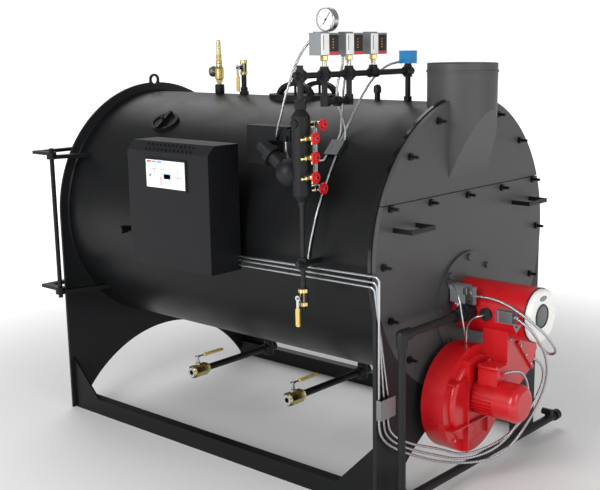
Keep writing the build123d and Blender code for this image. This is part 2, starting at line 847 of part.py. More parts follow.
# Limit control on top of the riser cross
with BuildPart() as limit_control:
    limit_foot = header_height_z + fitting_length
    disc(level(manifold_x, 0, limit_foot), plug_radius, plug_length / 2)
    block((manifold_x - limit_size / 2, manifold_x + limit_size / 2), (-limit_size / 2, limit_size / 2),
          (limit_foot + plug_length / 2, limit_foot + plug_length / 2 + limit_height))
    limit_gland = (manifold_x - 19, -limit_size / 2 - 2, limit_foot + plug_length)
    gland(*limit_gland)
limit_control.part.label = "limit_control"
export_step(limit_control.part, "parts/limit_control.step")

# Pressure gauge on a stem behind the dome of the first control
with BuildPart() as pressure_gauge:
    gauge_foot = control_foot + control_height
    gauge_y = tee_places[0] - control_y_size / 2 + control_dome + control_x_size / 2 + gauge_depth + 1
    gauge_centre = gauge_foot + gauge_gap + gauge_radius
    disc(sideways(manifold_x, gauge_y, gauge_centre), gauge_radius, gauge_depth)
    disc(level(manifold_x, gauge_y - gauge_depth / 2, gauge_foot), gauge_stem, gauge_gap + gauge_radius)
pressure_gauge.part.label = "pressure_gauge"
export_step(pressure_gauge.part, "parts/pressure_gauge.step")

# Water column with union, cones, plug boss, try cocks and the valves of the gauge glass
column_foot = column_top - column_length
glass_top = header_height_z - glass_top_drop
glass_bottom = header_height_z - glass_bottom_drop
cock_heights = [header_height_z - drop for drop in cock_drops]
glass_joint = glass_valve_radius + 1
with BuildPart() as water_column:
    disc(level(manifold_x, column_y, column_foot), column_radius, column_length)
    with BuildSketch(level(manifold_x, column_y, column_top)):
        Circle(column_radius)
    with BuildSketch(level(manifold_x, column_y, column_top + column_cone)):
        Circle(fitting_radius)
    loft()
    with BuildSketch(level(manifold_x, column_y, column_foot)):
        Circle(column_radius)
    with BuildSketch(level(manifold_x, column_y, column_foot - column_cone)):
        Circle(fitting_radius)
    loft()
    hexagon(level(manifold_x, column_y, column_top + column_cone), column_union_radius, column_union_height)
    disc(sideways(manifold_x, column_y, column_top - lug_drop), lug_radius, lug_reach)
    for height in cock_heights:
        with BuildSketch(across(manifold_x + column_radius * 0.8, height, column_y)):
            Circle(cock_boss_radius)
        with BuildSketch(across(manifold_x + column_radius * 1.3, height, column_y)):
            Circle(cock_body_radius)
        loft()
        disc(across(manifold_x, height, column_y), cock_body_radius, cock_reach)
        disc(level(manifold_x + cock_reach - 2 * spindle_radius, column_y, height - 2 * cock_body_radius),
             spindle_radius, 2 * cock_body_radius)
        disc(across(manifold_x + cock_reach, height, column_y), spindle_radius, 2 * wheel_hub + wheel_thickness)
    for height in (glass_top, glass_bottom):
        disc(sideways(manifold_x, column_y, height, 1), pipe_radius / 2 + 1, glass_y - column_y)
        disc(across(manifold_x - glass_valve_radius, height, glass_y), glass_valve_radius,
             glass_valve_radius + glass_valve_reach)
        disc(across(manifold_x + glass_valve_reach, height, glass_y), spindle_radius,
             2 * wheel_hub + wheel_thickness)
        disc(level(manifold_x, glass_y, height - glass_joint), glass_valve_radius - 1, 2 * glass_joint)
water_column.part.label = "water_column"
export_step(water_column.part, "parts/water_column.step")

with BuildPart() as gauge_glass:
    disc(level(manifold_x, glass_y, glass_bottom + glass_joint), glass_radius,
         glass_top - glass_bottom - 2 * glass_joint)
gauge_glass.part.label = "gauge_glass"
export_step(gauge_glass.part, "parts/gauge_glass.step")

# Red handwheels, each turning on the spindle of its valve
wheel_places = {
    "gauge_wheel_top": (manifold_x + glass_valve_reach, glass_y, glass_top),
    "cock_wheel_high": (manifold_x + cock_reach, column_y, cock_heights[0]),
    "cock_wheel_middle": (manifold_x + cock_reach, column_y, cock_heights[1]),
    "cock_wheel_low": (manifold_x + cock_reach, column_y, cock_heights[2]),
    "gauge_wheel_bottom": (manifold_x + glass_valve_reach, glass_y, glass_bottom),
}
for name, (x, y, z) in wheel_places.items():
    with BuildPart() as wheel:
        disc(across(x + wheel_hub, z, y), wheel_radius, wheel_thickness)
        disc(across(x + wheel_hub / 2, z, y), wheel_hub, wheel_hub + wheel_thickness)
        with BuildSketch(across(x, z, y)):
            with PolarLocations((wheel_radius + wheel_hub) / 2, wheel_holes):
                Circle(wheel_hole_radius)
            Circle(spindle_radius + spindle_clearance)
        extrude(amount=3 * wheel_hub, mode=Mode.SUBTRACT)
    wheel.part.label = name
    export_step(wheel.part, f"parts/{name}.step")

# Float chamber: bulb against the column, flange and a cylinder tilted up and away
bulb_height = header_height_z - bulb_drop
tilt = radians(chamber_tilt)
chamber_plane = Plane(origin=(manifold_x - bulb_offset, column_y, bulb_height), x_dir=(0, 1, 0),
                      z_dir=(-cos(tilt), 0, sin(tilt)))
with BuildPart() as float_chamber:
    with Locations(chamber_plane):
        Sphere(bulb_radius)
    disc(chamber_plane, chamber_radius, chamber_length)
    disc(chamber_plane.offset(chamber_flange_at), chamber_flange_radius, chamber_flange_thickness)
    disc(level(manifold_x, column_y, column_foot - column_cone), column_radius + seat_gap,
         column_length + 2 * column_cone, mode=Mode.SUBTRACT)
float_chamber.part.label = "float_chamber"
export_step(float_chamber.part, "parts/float_chamber.step")

# Switch box with its canopy and relay box, on a bracket from the shell
switch_foot_z = header_height_z - switch_drop
switch_top = switch_foot_z + switch_height
switch_right = switch_left + switch_width
relay_foot = switch_top - relay_height
relay_near_x = switch_right + relay_width * 0.4
relay_x = switch_right + relay_width * 0.85
relay_y = switch_front - connector_radius + 1
with BuildPart() as low_water_switch:
    block((switch_left, switch_right), (switch_front, switch_back), (switch_foot_z, switch_top))
    block((switch_left, switch_left + canopy_width), (switch_front, switch_back),
          (switch_top, switch_top + canopy_thickness))
    block((switch_right, switch_right + relay_width), (switch_front, switch_front + relay_depth),
          (switch_top - relay_height, switch_top))
    disc(level(relay_x, relay_y, relay_foot), connector_radius, connector_height)
    disc(level(relay_near_x, relay_y, relay_foot), connector_radius, connector_height / 2)
    gland(relay_near_x, relay_y, relay_foot + connector_height / 2)
    block((switch_left + connector_height, switch_right - connector_height), (switch_front + relay_depth, 0),
          (switch_foot_z - canopy_thickness, switch_foot_z))
    shell_room(shell_radius, rear_plane, door_back)
low_water_switch.part.label = "low_water_switch"
export_step(low_water_switch.part, "parts/low_water_switch.step")

# Column drain: pipe down to a cross with a stub to the shell, and the drain valve below
drain_cross = header_height_z - drain_cross_drop
drain_valve = header_height_z - drain_valve_drop
drain_stem_y = column_y - drain_valve_radius
drain_stem_z = drain_valve - drain_valve_length / 2
with BuildPart() as column_drain:
    drain_top = column_foot - column_cone
    disc(level(manifold_x, column_y, drain_valve), drain_radius, drain_top - drain_valve)
    disc(level(manifold_x, column_y, drain_cross - fitting_length), fitting_radius, 2 * fitting_length)
    disc(level(manifold_x, column_y, drain_top - plug_length), fitting_radius - 2, plug_length)
    disc(sideways(manifold_x, column_y, drain_cross, 1), drain_radius, -column_y)
    disc(sideways(manifold_x, column_y, drain_cross, 1), fitting_radius, fitting_length)
    disc(sideways(manifold_x, column_y, drain_cross), fitting_radius, fitting_length)
    hexagon(sideways(manifold_x, column_y - fitting_length, drain_cross), plug_radius, plug_length / 2)
    hexagon(level(manifold_x, column_y, drain_valve - drain_valve_length), drain_valve_radius, drain_valve_length)
    disc(level(manifold_x, column_y, drain_valve - drain_valve_length - drain_tail), drain_radius, drain_tail)
    disc(sideways(manifold_x, column_y, drain_stem_z), stem_radius,
         drain_valve_radius + lever_hub + 2 * lever_thickness)
    shell_room(shell_radius, rear_plane, door_back)
column_drain.part.label = "column_drain"
export_step(column_drain.part, "parts/column_drain.step")

# Blow-down pipes: a nipple and a tee under the shell, then a pipe to the near side
blowdown_height = axis_height - blowdown_drop
belly = axis_height - shell_radius
with BuildPart() as blowdown_pipes:
    for x in blowdown_places:
        disc(level(x, 0, blowdown_height), blowdown_radius, belly - blowdown_height + shell_wall)
        disc(level(x, 0, blowdown_height - tee_length / 2), tee_radius, tee_length)
        disc(sideways(x, tee_radius + plug_length, blowdown_height), tee_radius, tee_length)
        disc(sideways(x, 0, blowdown_height), blowdown_radius, -blowdown_end - valve_length)
    shell_room(shell_radius, rear_plane, door_back)
blowdown_pipes.part.label = "blowdown_pipes"
export_step(blowdown_pipes.part, "parts/blowdown_pipes.step")

valve_stem_y = blowdown_end + valve_length * 0.4
with BuildPart() as blowdown_valves:
    for x in blowdown_places:
        disc(sideways(x, blowdown_end, blowdown_height, 1), valve_radius, valve_length)
        disc(level(x, valve_stem_y, blowdown_height), stem_boss_radius, valve_radius + stem_height - 2 * lever_hub)
        disc(level(x, valve_stem_y, blowdown_height), stem_radius,
             valve_radius + stem_height + 2 * lever_thickness)
        disc(sideways(x, blowdown_end, blowdown_height, 1), valve_bore, valve_length, mode=Mode.SUBTRACT)
blowdown_valves.part.label = "blowdown_valves"
export_step(blowdown_valves.part, "parts/blowdown_valves.step")

# Safety valve: coupling, nipple, body, bonnet and spring housing, with a side outlet
with BuildPart() as safety_valve:
    post = crown
    for step_radius, step_height in safety_steps:
        disc(level(safety_x, 0, post), step_radius, step_height)
        post += step_height
    disc(across(safety_x - outlet_reach, crown + outlet_rise), outlet_radius, outlet_reach)
    disc(across(safety_x - outlet_reach - flange_thickness, crown + outlet_rise), outlet_flange, flange_thickness)
    shell_room(shell_radius, rear_plane, door_back)
safety_valve.part.label = "safety_valve"
export_step(safety_valve.part, "parts/safety_valve.step")

# Vent: hexagon and pipe on the crown, ball valve with its stem
vent_stem_z = crown + vent_pipe_rise + vent_valve_height / 2
with BuildPart() as vent_valve:
    hexagon(level(vent_x, 0, crown), union_radius + 2, plug_length)
    disc(level(vent_x, 0, crown), fitting_radius, 2 * fitting_radius)
    disc(level(vent_x, 0, crown), pipe_radius + 1, vent_pipe_rise)
    hexagon(level(vent_x, 0, crown + vent_pipe_rise), gas_pipe_radius, vent_valve_height)
    disc(sideways(vent_x, 0, vent_stem_z), stem_boss_radius, vent_stem_reach)
    disc(sideways(vent_x, 0, vent_stem_z), stem_radius, vent_stem_reach + lever_hub + 2 * lever_thickness)
    shell_room(shell_radius, rear_plane, door_back)
vent_valve.part.label = "vent_valve"
export_step(vent_valve.part, "parts/vent_valve.step")

# Levers of the ball valves: pivot, stem direction, direction of the grip and length
lever_places = {
    "blowdown_lever_rear": (blowdown_places[0], valve_stem_y, blowdown_height + valve_radius + stem_height),
    "blowdown_lever_front": (blowdown_places[1], valve_stem_y, blowdown_height + valve_radius + stem_height),
    "vent_lever": (vent_x, -vent_stem_reach - lever_hub, vent_stem_z),
    "drain_lever": (manifold_x, drain_stem_y - lever_hub, drain_stem_z),
}
for name, place in lever_places.items():
    flat = name.startswith("blowdown")
    out = (0, 0, 1) if flat else (0, -1, 0)
    along = (0, 1, 0) if flat else (0, 0, -1)
    length = blowdown_lever_length if flat else small_lever_length
    with BuildPart() as lever:
        with BuildSketch(Plane(origin=place, x_dir=along, z_dir=out)):
            Circle(lever_hub)
            with Locations((length / 4, 0)):
                Rectangle(length / 2, lever_width)
            Circle(stem_radius + spindle_clearance, mode=Mode.SUBTRACT)
        extrude(amount=lever_thickness)
        with BuildSketch(Plane(origin=place, x_dir=along, z_dir=out).offset((lever_thickness - grip_thickness) / 2)):
            with Locations(((length + lever_neck) / 2, 0)):
                SlotOverall(length - lever_neck, grip_width)
        extrude(amount=grip_thickness)
    lever.part.label = name
    export_step(lever.part, f"parts/{name}.step")

# Manway: oval ring and cover on the crown, with two arched yokes
with BuildPart() as manway:
    with BuildSketch(level(manway_x, 0, axis_height)):
        Ellipse(manway_length / 2, manway_width / 2)
    extrude(amount=shell_radius + manway_rise)
    shell_room(shell_radius, rear_plane, door_back)
    disc(across(rear_plane), shell_radius + manway_rise, 1, mode=Mode.SUBTRACT)
    for side in (1, -1):
        yoke_foot = crown + manway_rise - 6
        yoke_x = manway_x + yoke_shift + side * yoke_stagger
        with BuildSketch(sideways(yoke_x, side * yoke_spacing / 2 + yoke_width / 2, yoke_foot)):
            Ellipse(yoke_length / 2, yoke_height)
            Ellipse(yoke_length / 2 - yoke_band, yoke_height - yoke_band, mode=Mode.SUBTRACT)
            with Locations((0, -yoke_height)):
                Rectangle(yoke_length, 2 * yoke_height, mode=Mode.SUBTRACT)
        extrude(amount=yoke_width)
        disc(level(yoke_x, side * yoke_spacing / 2, yoke_foot), stud_radius, yoke_height + nut_height)
        hexagon(level(yoke_x, side * yoke_spacing / 2, yoke_foot + yoke_height - 2), nut_radius, nut_height)
manway.part.label = "manway"
export_step(manway.part, "parts/manway.step")

# Handhole with its yoke on the shoulder, plugged side stub and capped nozzle
handhole_turn = radians(handhole_angle)
handhole_seat = shell_radius - shell_wall
shoulder = Plane(origin=(handhole_x, -handhole_seat * cos(handhole_turn),
                         axis_height + handhole_seat * sin(handhole_turn)),
                 x_dir=(1, 0, 0), z_dir=(0, -cos(handhole_turn), sin(handhole_turn)))
with BuildPart() as inspection_ports:
    with BuildSketch(shoulder):
        Ellipse(handhole_length / 2, handhole_width / 2)
        Ellipse(handhole_length / 2 - handhole_rim, handhole_width / 2 - handhole_rim, mode=Mode.SUBTRACT)
    extrude(amount=shell_wall + handhole_rim)
    with BuildSketch(shoulder):
        Ellipse(handhole_length / 2 - handhole_rim, handhole_width / 2 - handhole_rim)
    extrude(amount=shell_wall + handhole_rim / 2)
    with BuildSketch(shoulder):
        Rectangle(yoke_band, handhole_width)
    extrude(amount=shell_wall + 2 * handhole_rim)
    disc(shoulder, stud_radius, shell_wall + 3 * handhole_rim)
    disc(sideways(side_stub_x, -shell_radius + stub_radius, axis_height - stub_drop), stub_radius,
         stub_radius + stub_reach)
    hexagon(sideways(side_stub_x, -shell_radius - stub_reach, axis_height - stub_drop), stub_cap,
            2 * stub_cap)
    disc(level(nozzle_x, 0, crown), nozzle_radius, nozzle_rise)
    disc(level(nozzle_x, 0, crown + nozzle_rise - nozzle_cap), stub_radius + 3, nozzle_cap)
    shell_room(shell_radius, rear_plane, door_back)
inspection_ports.part.label = "inspection_ports"
export_step(inspection_ports.part, "parts/inspection_ports.step")

# Rigid conduits: along the shell, over the rim and down the front, and two below the junction plate
conduit_x = front_plane + conduit_radius + seat_gap
with BuildPart() as rigid_conduits:
    for row, (start, rim, foot) in enumerate(zip(conduit_starts, conduit_rims, conduit_feet)):
        outer_x = conduit_x + (2 - row) * conduit_pitch
        pipe([(panel_right + seat_gap, conduit_y, start), (outer_x, conduit_y + 2, rim),
              (conduit_x, foot, clamp_high), (conduit_x, foot, conduit_end)], conduit_radius, conduit_bend)
    shell_run = [(junction_x + 27, 42), (junction_x + 36, 33), (junction_x + 34, 24), (junction_x + 26, 15),
                 (junction_x + 12, 6), (junction_x - 3, -2)]
    shell_ring = shell_radius + conduit_radius + conduit_lift
    pipe([(x, -shell_ring * cos(radians(turn)), axis_height + shell_ring * sin(radians(turn)))
          for x, turn in shell_run] + [(junction_x - 3, conduit_y + 1, conduit_starts[0] + 7)],
         conduit_radius, conduit_bend / 2)
    pipe([(junction_x - 25, -shell_ring * cos(radians(42)), axis_height + shell_ring * sin(radians(42))),
          (junction_x - 29, -shell_ring * cos(radians(38.5)), axis_height + shell_ring * sin(radians(38.5))),
          (junction_x - 63, -600, relay_foot - 100), (relay_x, -690, relay_foot - 80),
          (relay_x, relay_y, relay_foot - 42), (relay_x, relay_y, relay_foot)], conduit_radius, conduit_bend / 2)
rigid_conduits.part.label = "rigid_conduits"
export_step(rigid_conduits.part, "parts/rigid_conduits.step")

# Bent sheet clamp over the conduits on the front, and the junction plate on the shell
with BuildPart() as conduit_clamps:
    block((front_plane, front_plane + clamp_stand), (-front_half_width, -front_half_width + clamp_sheet),
          (clamp_low, clamp_high))
    block((front_plane + clamp_stand - clamp_sheet, front_plane + clamp_stand), (-front_half_width, clamp_inner_y),
          (clamp_low, clamp_high))
    with BuildSketch(Plane(origin=(junction_x, 0, axis_height), x_dir=(1, 0, 0),
                           z_dir=(0, -cos(radians(junction_angle)), sin(radians(junction_angle))))):
        Rectangle(junction_length, junction_width)
    extrude(amount=shell_radius + junction_rise)
    with BuildSketch(Plane(origin=(junction_x, 0, axis_height), x_dir=(1, 0, 0),
                           z_dir=(0, -cos(radians(junction_angle)), sin(radians(junction_angle))))):
        Rectangle(junction_length - 2 * clamp_sheet, 2 * junction_width)
    extrude(amount=shell_radius + junction_rise - clamp_sheet, mode=Mode.SUBTRACT)
    shell_room(shell_radius, rear_plane, door_back)
conduit_clamps.part.label = "conduit_clamps"
export_step(conduit_clamps.part, "parts/conduit_clamps.step")

# Flexible conduits: straight runs joined by arcs, each arc as large as its two runs allow
near_shell = shell_radius + thin_radius + seat_gap
plate_entry = (-near_shell * cos(radians(46)), axis_height + near_shell * sin(radians(46)))
conduit_ends = [(conduit_x, foot, conduit_end) for foot in conduit_feet]
cord_routes = {
    "level_conduit": (thin_radius, [
        level_gland, (676, -650, 2002), (665, -684, 1950), (658, -712, 1893), (647, -727, 1838),
        (630, -736, 1778), (608, -733, 1716), (577, -722, 1665),
        (relay_near_x, relay_y, relay_foot + connector_height / 2)], gland_radius, gland_radius),
    "limit_conduit": (thin_radius, [
        limit_gland, (712, -90, 1922), (707, -150, 1900), (703, -207, 1864), (701, -262, 1815),
        (698, -315, 1755), (695, -358, 1696), (693, -396, 1642), (692, -427, 1596),
        (junction_x + 7, *plate_entry)], gland_radius, 0),
    "near_control_conduit": (thin_radius, [
        near_gland, (manifold_x - 23, -448, 1930), (711, -453, 1898), (704, -463, 1862), (700, -470, 1822),
        (699, -470, 1782), (700, -460, 1742), (702, -444, 1703), (704, -428, 1666), (707, -420, 1631),
        (710, -427, 1596), (junction_x + 27, *plate_entry)], 0, 0),
    "far_control_conduit": (thin_radius, [
        far_gland, (manifold_x - 23, -412, 1930), (711, -415, 1898), (704, -420, 1862), (700, -424, 1822),
        (696, -425, 1780), (691, -422, 1738), (685, -420, 1698), (679, -417, 1660), (675, -414, 1628),
        (672, -427, 1596), (junction_x - 13, *plate_entry)], 0, 0),
    "actuator_conduit": (cord_radius, [
        conduit_ends[0], (conduit_x, conduit_feet[0], 372), (1103, -640, 318), (1124, -576, 270),
        (1150, -490, 224), (1182, -380, 170), (1222, -245, 125), (1285, -120, 112), (1350, -60, 150),
        (1390, -15, 215), (1435, 0, 300), (1470, 20, 385), (1495, 40, 470), (1515, 25, 560),
        (1530, -25, 650), (1532, -100, 735), (1512, -148, 800), actuator_gland], 0, gland_radius),
    "motor_conduit": (cord_radius, [
        conduit_ends[1], (conduit_x, conduit_feet[1], 376), (1103, -612, 326), (1126, -556, 284),
        (1153, -474, 240), (1185, -368, 194), (1230, -240, 142), (1290, -120, 150), (1345, -60, 200),
        (1390, -25, 280), (1440, -20, 370), (1462, -45, 470), (1462, -75, 545), (1447, -120, 590),
        motor_gland], 0, gland_radius),
    "damper_conduit": (cord_radius, [
        conduit_ends[2], (conduit_x, conduit_feet[2], 380), (1106, -588, 335), (1130, -536, 298),
        (1158, -455, 260), (1190, -352, 222), (1235, -230, 160), (1300, -90, 180), (1345, -10, 225),
        (1385, 70, 300), (1405, 140, 390), (1408, 186, 455), (1392, 206, 512), (1364, 184, 548),
        duct_gland], 0, gland_radius),
    "gas_switch_conduit": (cord_radius, [
        switch_gland, (1290, -150, 902), (1350, -153, 899), (1412, -154, 883), (1472, -146, 853),
        (1528, -124, 808), (1562, -88, 762), (1575, -45, 712), (1571, -2, 668), (1538, 24, 641),
        (1492, 34, 640), housing_gland], gland_radius, gland_radius),
}


def toward(point, target, distance):
    """The point at a distance from one place on the way to another."""
    length = (Vector(*target) - Vector(*point)).length
    return tuple(a + (b - a) * distance / length for a, b in zip(point, target))


for name, (radius, route, start_inset, end_inset) in cord_routes.items():
    points = list(route)
    points[0] = toward(route[0], route[1], start_inset)
    points[-1] = toward(route[-1], route[-2], end_inset)
    runs = [Vector(*b) - Vector(*a) for a, b in zip(points, points[1:])]
    bends = [0.45 * min(a.length, b.length) / tan(radians(a.get_angle(b)) / 2) for a, b in zip(runs, runs[1:])]
    with BuildPart() as cord:
        with BuildLine() as path:
            FilletPolyline(*points, radius=bends)
        with BuildSketch(path.line ^ 0):
            Circle(radius)
        sweep()
    cord.part.label = name
    export_step(cord.part, f"parts/{name}.step")
    length = sum(edge.length for edge in path.line.edges())
    print(name, "length", round(length), "bends", [round(bend) for bend in bends],
          "volume over section times length", round(cord.part.volume / (pi * radius**2 * length), 4))
    print([tuple(round(c, 1) for c in point) for point in points])
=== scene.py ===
# %% [markdown]
# A packaged fire-tube boiler is a rolled steel drum on a skid, with a gas burner on its front doors and
# pipes, valves and controls round it. The solids were drawn in CAD. This script loads them, gives each
# its real finish, and models the small pieces that a close look finds.

# %% Load the solids
import math
import bpy
from mathutils import Matrix, Vector


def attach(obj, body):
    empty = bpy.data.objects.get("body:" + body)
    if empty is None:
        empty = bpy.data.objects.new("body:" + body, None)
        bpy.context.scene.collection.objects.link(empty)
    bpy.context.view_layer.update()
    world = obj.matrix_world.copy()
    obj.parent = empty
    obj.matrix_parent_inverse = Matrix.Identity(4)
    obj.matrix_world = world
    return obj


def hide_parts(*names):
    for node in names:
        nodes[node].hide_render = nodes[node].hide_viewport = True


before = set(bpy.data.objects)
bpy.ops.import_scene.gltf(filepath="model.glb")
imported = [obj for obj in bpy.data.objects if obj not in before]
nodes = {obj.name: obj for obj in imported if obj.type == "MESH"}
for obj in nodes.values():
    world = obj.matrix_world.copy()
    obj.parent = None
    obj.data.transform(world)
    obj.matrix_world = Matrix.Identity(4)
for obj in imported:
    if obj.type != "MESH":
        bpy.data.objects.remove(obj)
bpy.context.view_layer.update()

ROOT = "boiler"

# %% [markdown]
# The camera stands where the photograph was taken from. Its place and turn were solved from edges in the
# photograph, with the sizes that the CAD assumes. The optical centre isn't the picture's centre, which a
# small lens shift takes up. The vertical shift has a small factor that was fitted and not derived.

# %% Camera
yaw, pitch, roll = 0.6961, 0.2124, -0.0073
focal_px = 1038.70
optical_centre = (345, 262)
picture = (600, 490)
fitted_shift_factor = 0.9988
look = Vector((-math.sin(yaw) * math.cos(pitch), math.cos(yaw) * math.cos(pitch), -math.sin(pitch)))
right = Vector((math.cos(yaw), math.sin(yaw), 0))
up = right.cross(look)
turned_right = right * math.cos(roll) + up * math.sin(roll)
turned_up = up * math.cos(roll) - right * math.sin(roll)
bpy.ops.object.camera_add()
camera = bpy.context.object
camera.name = "camera"
camera.matrix_world = Matrix((turned_right, turned_up, -look)).transposed().to_4x4()
camera.location = (3.6917, -4.00285, 2.03817)
camera.data.sensor_width = 36
camera.data.lens = focal_px / picture[0] * camera.data.sensor_width
camera.data.shift_x = (picture[0] / 2 - optical_centre[0]) / picture[0]
camera.data.shift_y = (optical_centre[1] - picture[1] / 2) / picture[0] * fitted_shift_factor
bpy.context.scene.camera = camera
print("lens", round(camera.data.lens, 2), "mm")

# %% [markdown]
# Every finish below is a small net of shader nodes. One helper adds a node, sets its values and links
# its inputs. Colours are written as the hex values a painter would read off a chart, and turned to the
# linear numbers that the shader needs.


# %% Helpers for finishes
def from_hex(code):
    """An sRGB hex value as linear red, green, blue and alpha."""
    channels = [int(code[i:i + 2], 16) / 255 for i in (1, 3, 5)]
    return [c / 12.92 if c <= 0.04045 else ((c + 0.055) / 1.055) ** 2.4 for c in channels] + [1]


def add_node(tree, kind, values=None, links=None):
    """Adds one node, sets its inputs or settings, and links sockets into it."""
    node = tree.nodes.new(kind)
    for key, value in (values or {}).items():
        if isinstance(key, int) or key in node.inputs.keys():
            node.inputs[key].default_value = value
        else:
            setattr(node, key, value)
    for key, source in (links or {}).items():
        tree.links.new(source, node.inputs[key])
    return node


def per_metre(millimetres):
    """Noise scale whose patches have this size."""
    return 1000 / millimetres


def surface(name, dark, light, patch_mm, rough, grain_mm, grain_depth, **shader_values):
    """A finish whose colour and roughness drift over patches, with a fine grain in relief."""
    material = bpy.data.materials.new(name)
    material.use_nodes = True
    tree = material.node_tree
    shader = tree.nodes["Principled BSDF"]
    for key, value in shader_values.items():
        shader.inputs[key.replace("_", " ")].default_value = value
    place = add_node(tree, "ShaderNodeTexCoord").outputs["Object"]
    patches = add_node(tree, "ShaderNodeTexNoise", {"Scale": per_metre(patch_mm), "Detail": 6,
                                                    "Roughness": 0.6}, {"Vector": place}).outputs["Fac"]
    colour = add_node(tree, "ShaderNodeMix", {"data_type": "RGBA", 6: from_hex(dark), 7: from_hex(light)},
                      {0: patches})
    gloss = add_node(tree, "ShaderNodeMapRange", {"From Min": 0.3, "From Max": 0.7, "To Min": rough[0],
                                                  "To Max": rough[1]}, {"Value": patches})
    grain = add_node(tree, "ShaderNodeTexNoise", {"Scale": per_metre(grain_mm), "Detail": 3},
                     {"Vector": place})
    relief = add_node(tree, "ShaderNodeBump", {"Strength": 0.6, "Distance": grain_depth},
                      {"Height": grain.outputs["Fac"]})
    tree.links.new(colour.outputs[2], shader.inputs["Base Color"])
    tree.links.new(gloss.outputs["Result"], shader.inputs["Roughness"])
    tree.links.new(relief.outputs["Normal"], shader.inputs["Normal"])
    return material


# %% [markdown]
# The drum, plates and skid are mild steel sprayed with a black satin enamel. Sprayed enamel is a
# dielectric with an index near 1.5, it shows soft wide highlights, and its surface has a faint orange
# peel of a few millimetres. The saddle plates and the front carry the same black paint made lighter:
# this is painted light, lighter where lamp light falls on them.

# %% Painted steel
satin_black = surface("satin_black_enamel", "#0E0F10", "#141517", 160, (0.34, 0.42), 5, 0.00012,
                      IOR=1.5, Specular_IOR_Level=0.2)
# The same black enamel made a little lighter: painted light for the lamp light that reaches the saddle
# plates.
half_lit_plate_black = surface("satin_black_enamel_painted_half_lit", "#1E1F21", "#28292B", 220, (0.38, 0.48), 5, 0.00012,
                       IOR=1.5, Specular_IOR_Level=0.2)
# The same black enamel lightened to grey: a painted highlight for the lamp light that falls on the doors,
# stack and burner plate.
lit_front_black = surface("satin_black_enamel_painted_lit", "#414142", "#4C4C4D", 220, (0.40, 0.50), 5, 0.00012,
                     IOR=1.5, Specular_IOR_Level=0.3)
panel_grey = surface("powder_coated_sheet", "#101113", "#16171A", 90, (0.42, 0.52), 1.6, 0.0001,
                     IOR=1.5, Specular_IOR_Level=0.2)
burner_red = surface("red_enamel", "#B60E17", "#D0161E", 90, (0.26, 0.36), 5, 0.0001, IOR=1.5,
                     Coat_Weight=0.25, Coat_Roughness=0.15)
cap_white = surface("white_enamel", "#E9E8E4", "#F6F5F2", 60, (0.25, 0.33), 5, 0.00006, IOR=1.5)
box_grey = surface("grey_enamel_sheet", "#747779", "#8B8E90", 45, (0.35, 0.45), 2, 0.00008, IOR=1.5)
sky_blue = surface("blue_moulded_cover", "#1C8AD0", "#2A9CE2", 40, (0.33, 0.42), 1.5, 0.00006, IOR=1.46)
wheel_red = surface("red_dipped_iron", "#C90D18", "#E8202B", 18, (0.28, 0.4), 3, 0.00012, IOR=1.5)
grip_yellow = surface("yellow_dipped_grip", "#E6B808", "#F2C818", 45, (0.35, 0.45), 2, 0.0001, IOR=1.53)
label_white = surface("white_label_stock", "#ECEDEB", "#F7F7F4", 30, (0.4, 0.5), 2, 0.00004, IOR=1.46)
label_red = surface("red_label_stock", "#C8343C", "#DA4850", 30, (0.4, 0.5), 2, 0.00004, IOR=1.46)
dark_plastic = surface("black_moulded_plastic", "#141416", "#1E1F21", 30, (0.38, 0.5), 1.4, 0.00008,
                       IOR=1.46)
print("paints made:", len(bpy.data.materials))

# %% [markdown]
# Pipe and fittings are malleable iron and black steel pipe: the cast skin keeps the grain of the sand,
# about two millimetres coarse. Brass is yellow and shows turning marks, zinc on the conduits is a
# bright grey with soft spangles, and the wheels' spindles are plain steel.

# %% Cast and machined metal
pipe_black = surface("black_pipe_iron", "#101112", "#18191B", 50, (0.42, 0.56), 2.2, 0.0002, IOR=1.5,
                     Specular_IOR_Level=0.35)
column_iron = surface("sand_cast_iron_paint", "#101113", "#191A1C", 60, (0.42, 0.55), 2.2, 0.0003, IOR=1.5,
                      Specular_IOR_Level=0.25)
brass = surface("turned_brass", "#C2B070", "#D6C888", 34, (0.2, 0.34), 1.2, 0.00005, Metallic=1.0)
nickel = surface("nickel_plated_brass", "#C9C2A8", "#E0DCC8", 12, (0.2, 0.32), 1.2, 0.00004, Metallic=1.0)
plate_steel = surface("brushed_plate_steel", "#7C7E80", "#9A9C9E", 25, (0.28, 0.4), 1.2, 0.00005,
                      Metallic=1.0)
zinc = surface("galvanised_tube", "#A9ACB0", "#CDD0D3", 18, (0.25, 0.38), 1.5, 0.00005, Metallic=1.0)
steel = surface("bright_steel", "#B9BABC", "#D4D5D7", 20, (0.18, 0.3), 1, 0.00004, Metallic=1.0)
print("finishes made:", len(bpy.data.materials))

# %% [markdown]
# Now each solid gets its finish. A solid's shape is never changed here: only the material in its slot.

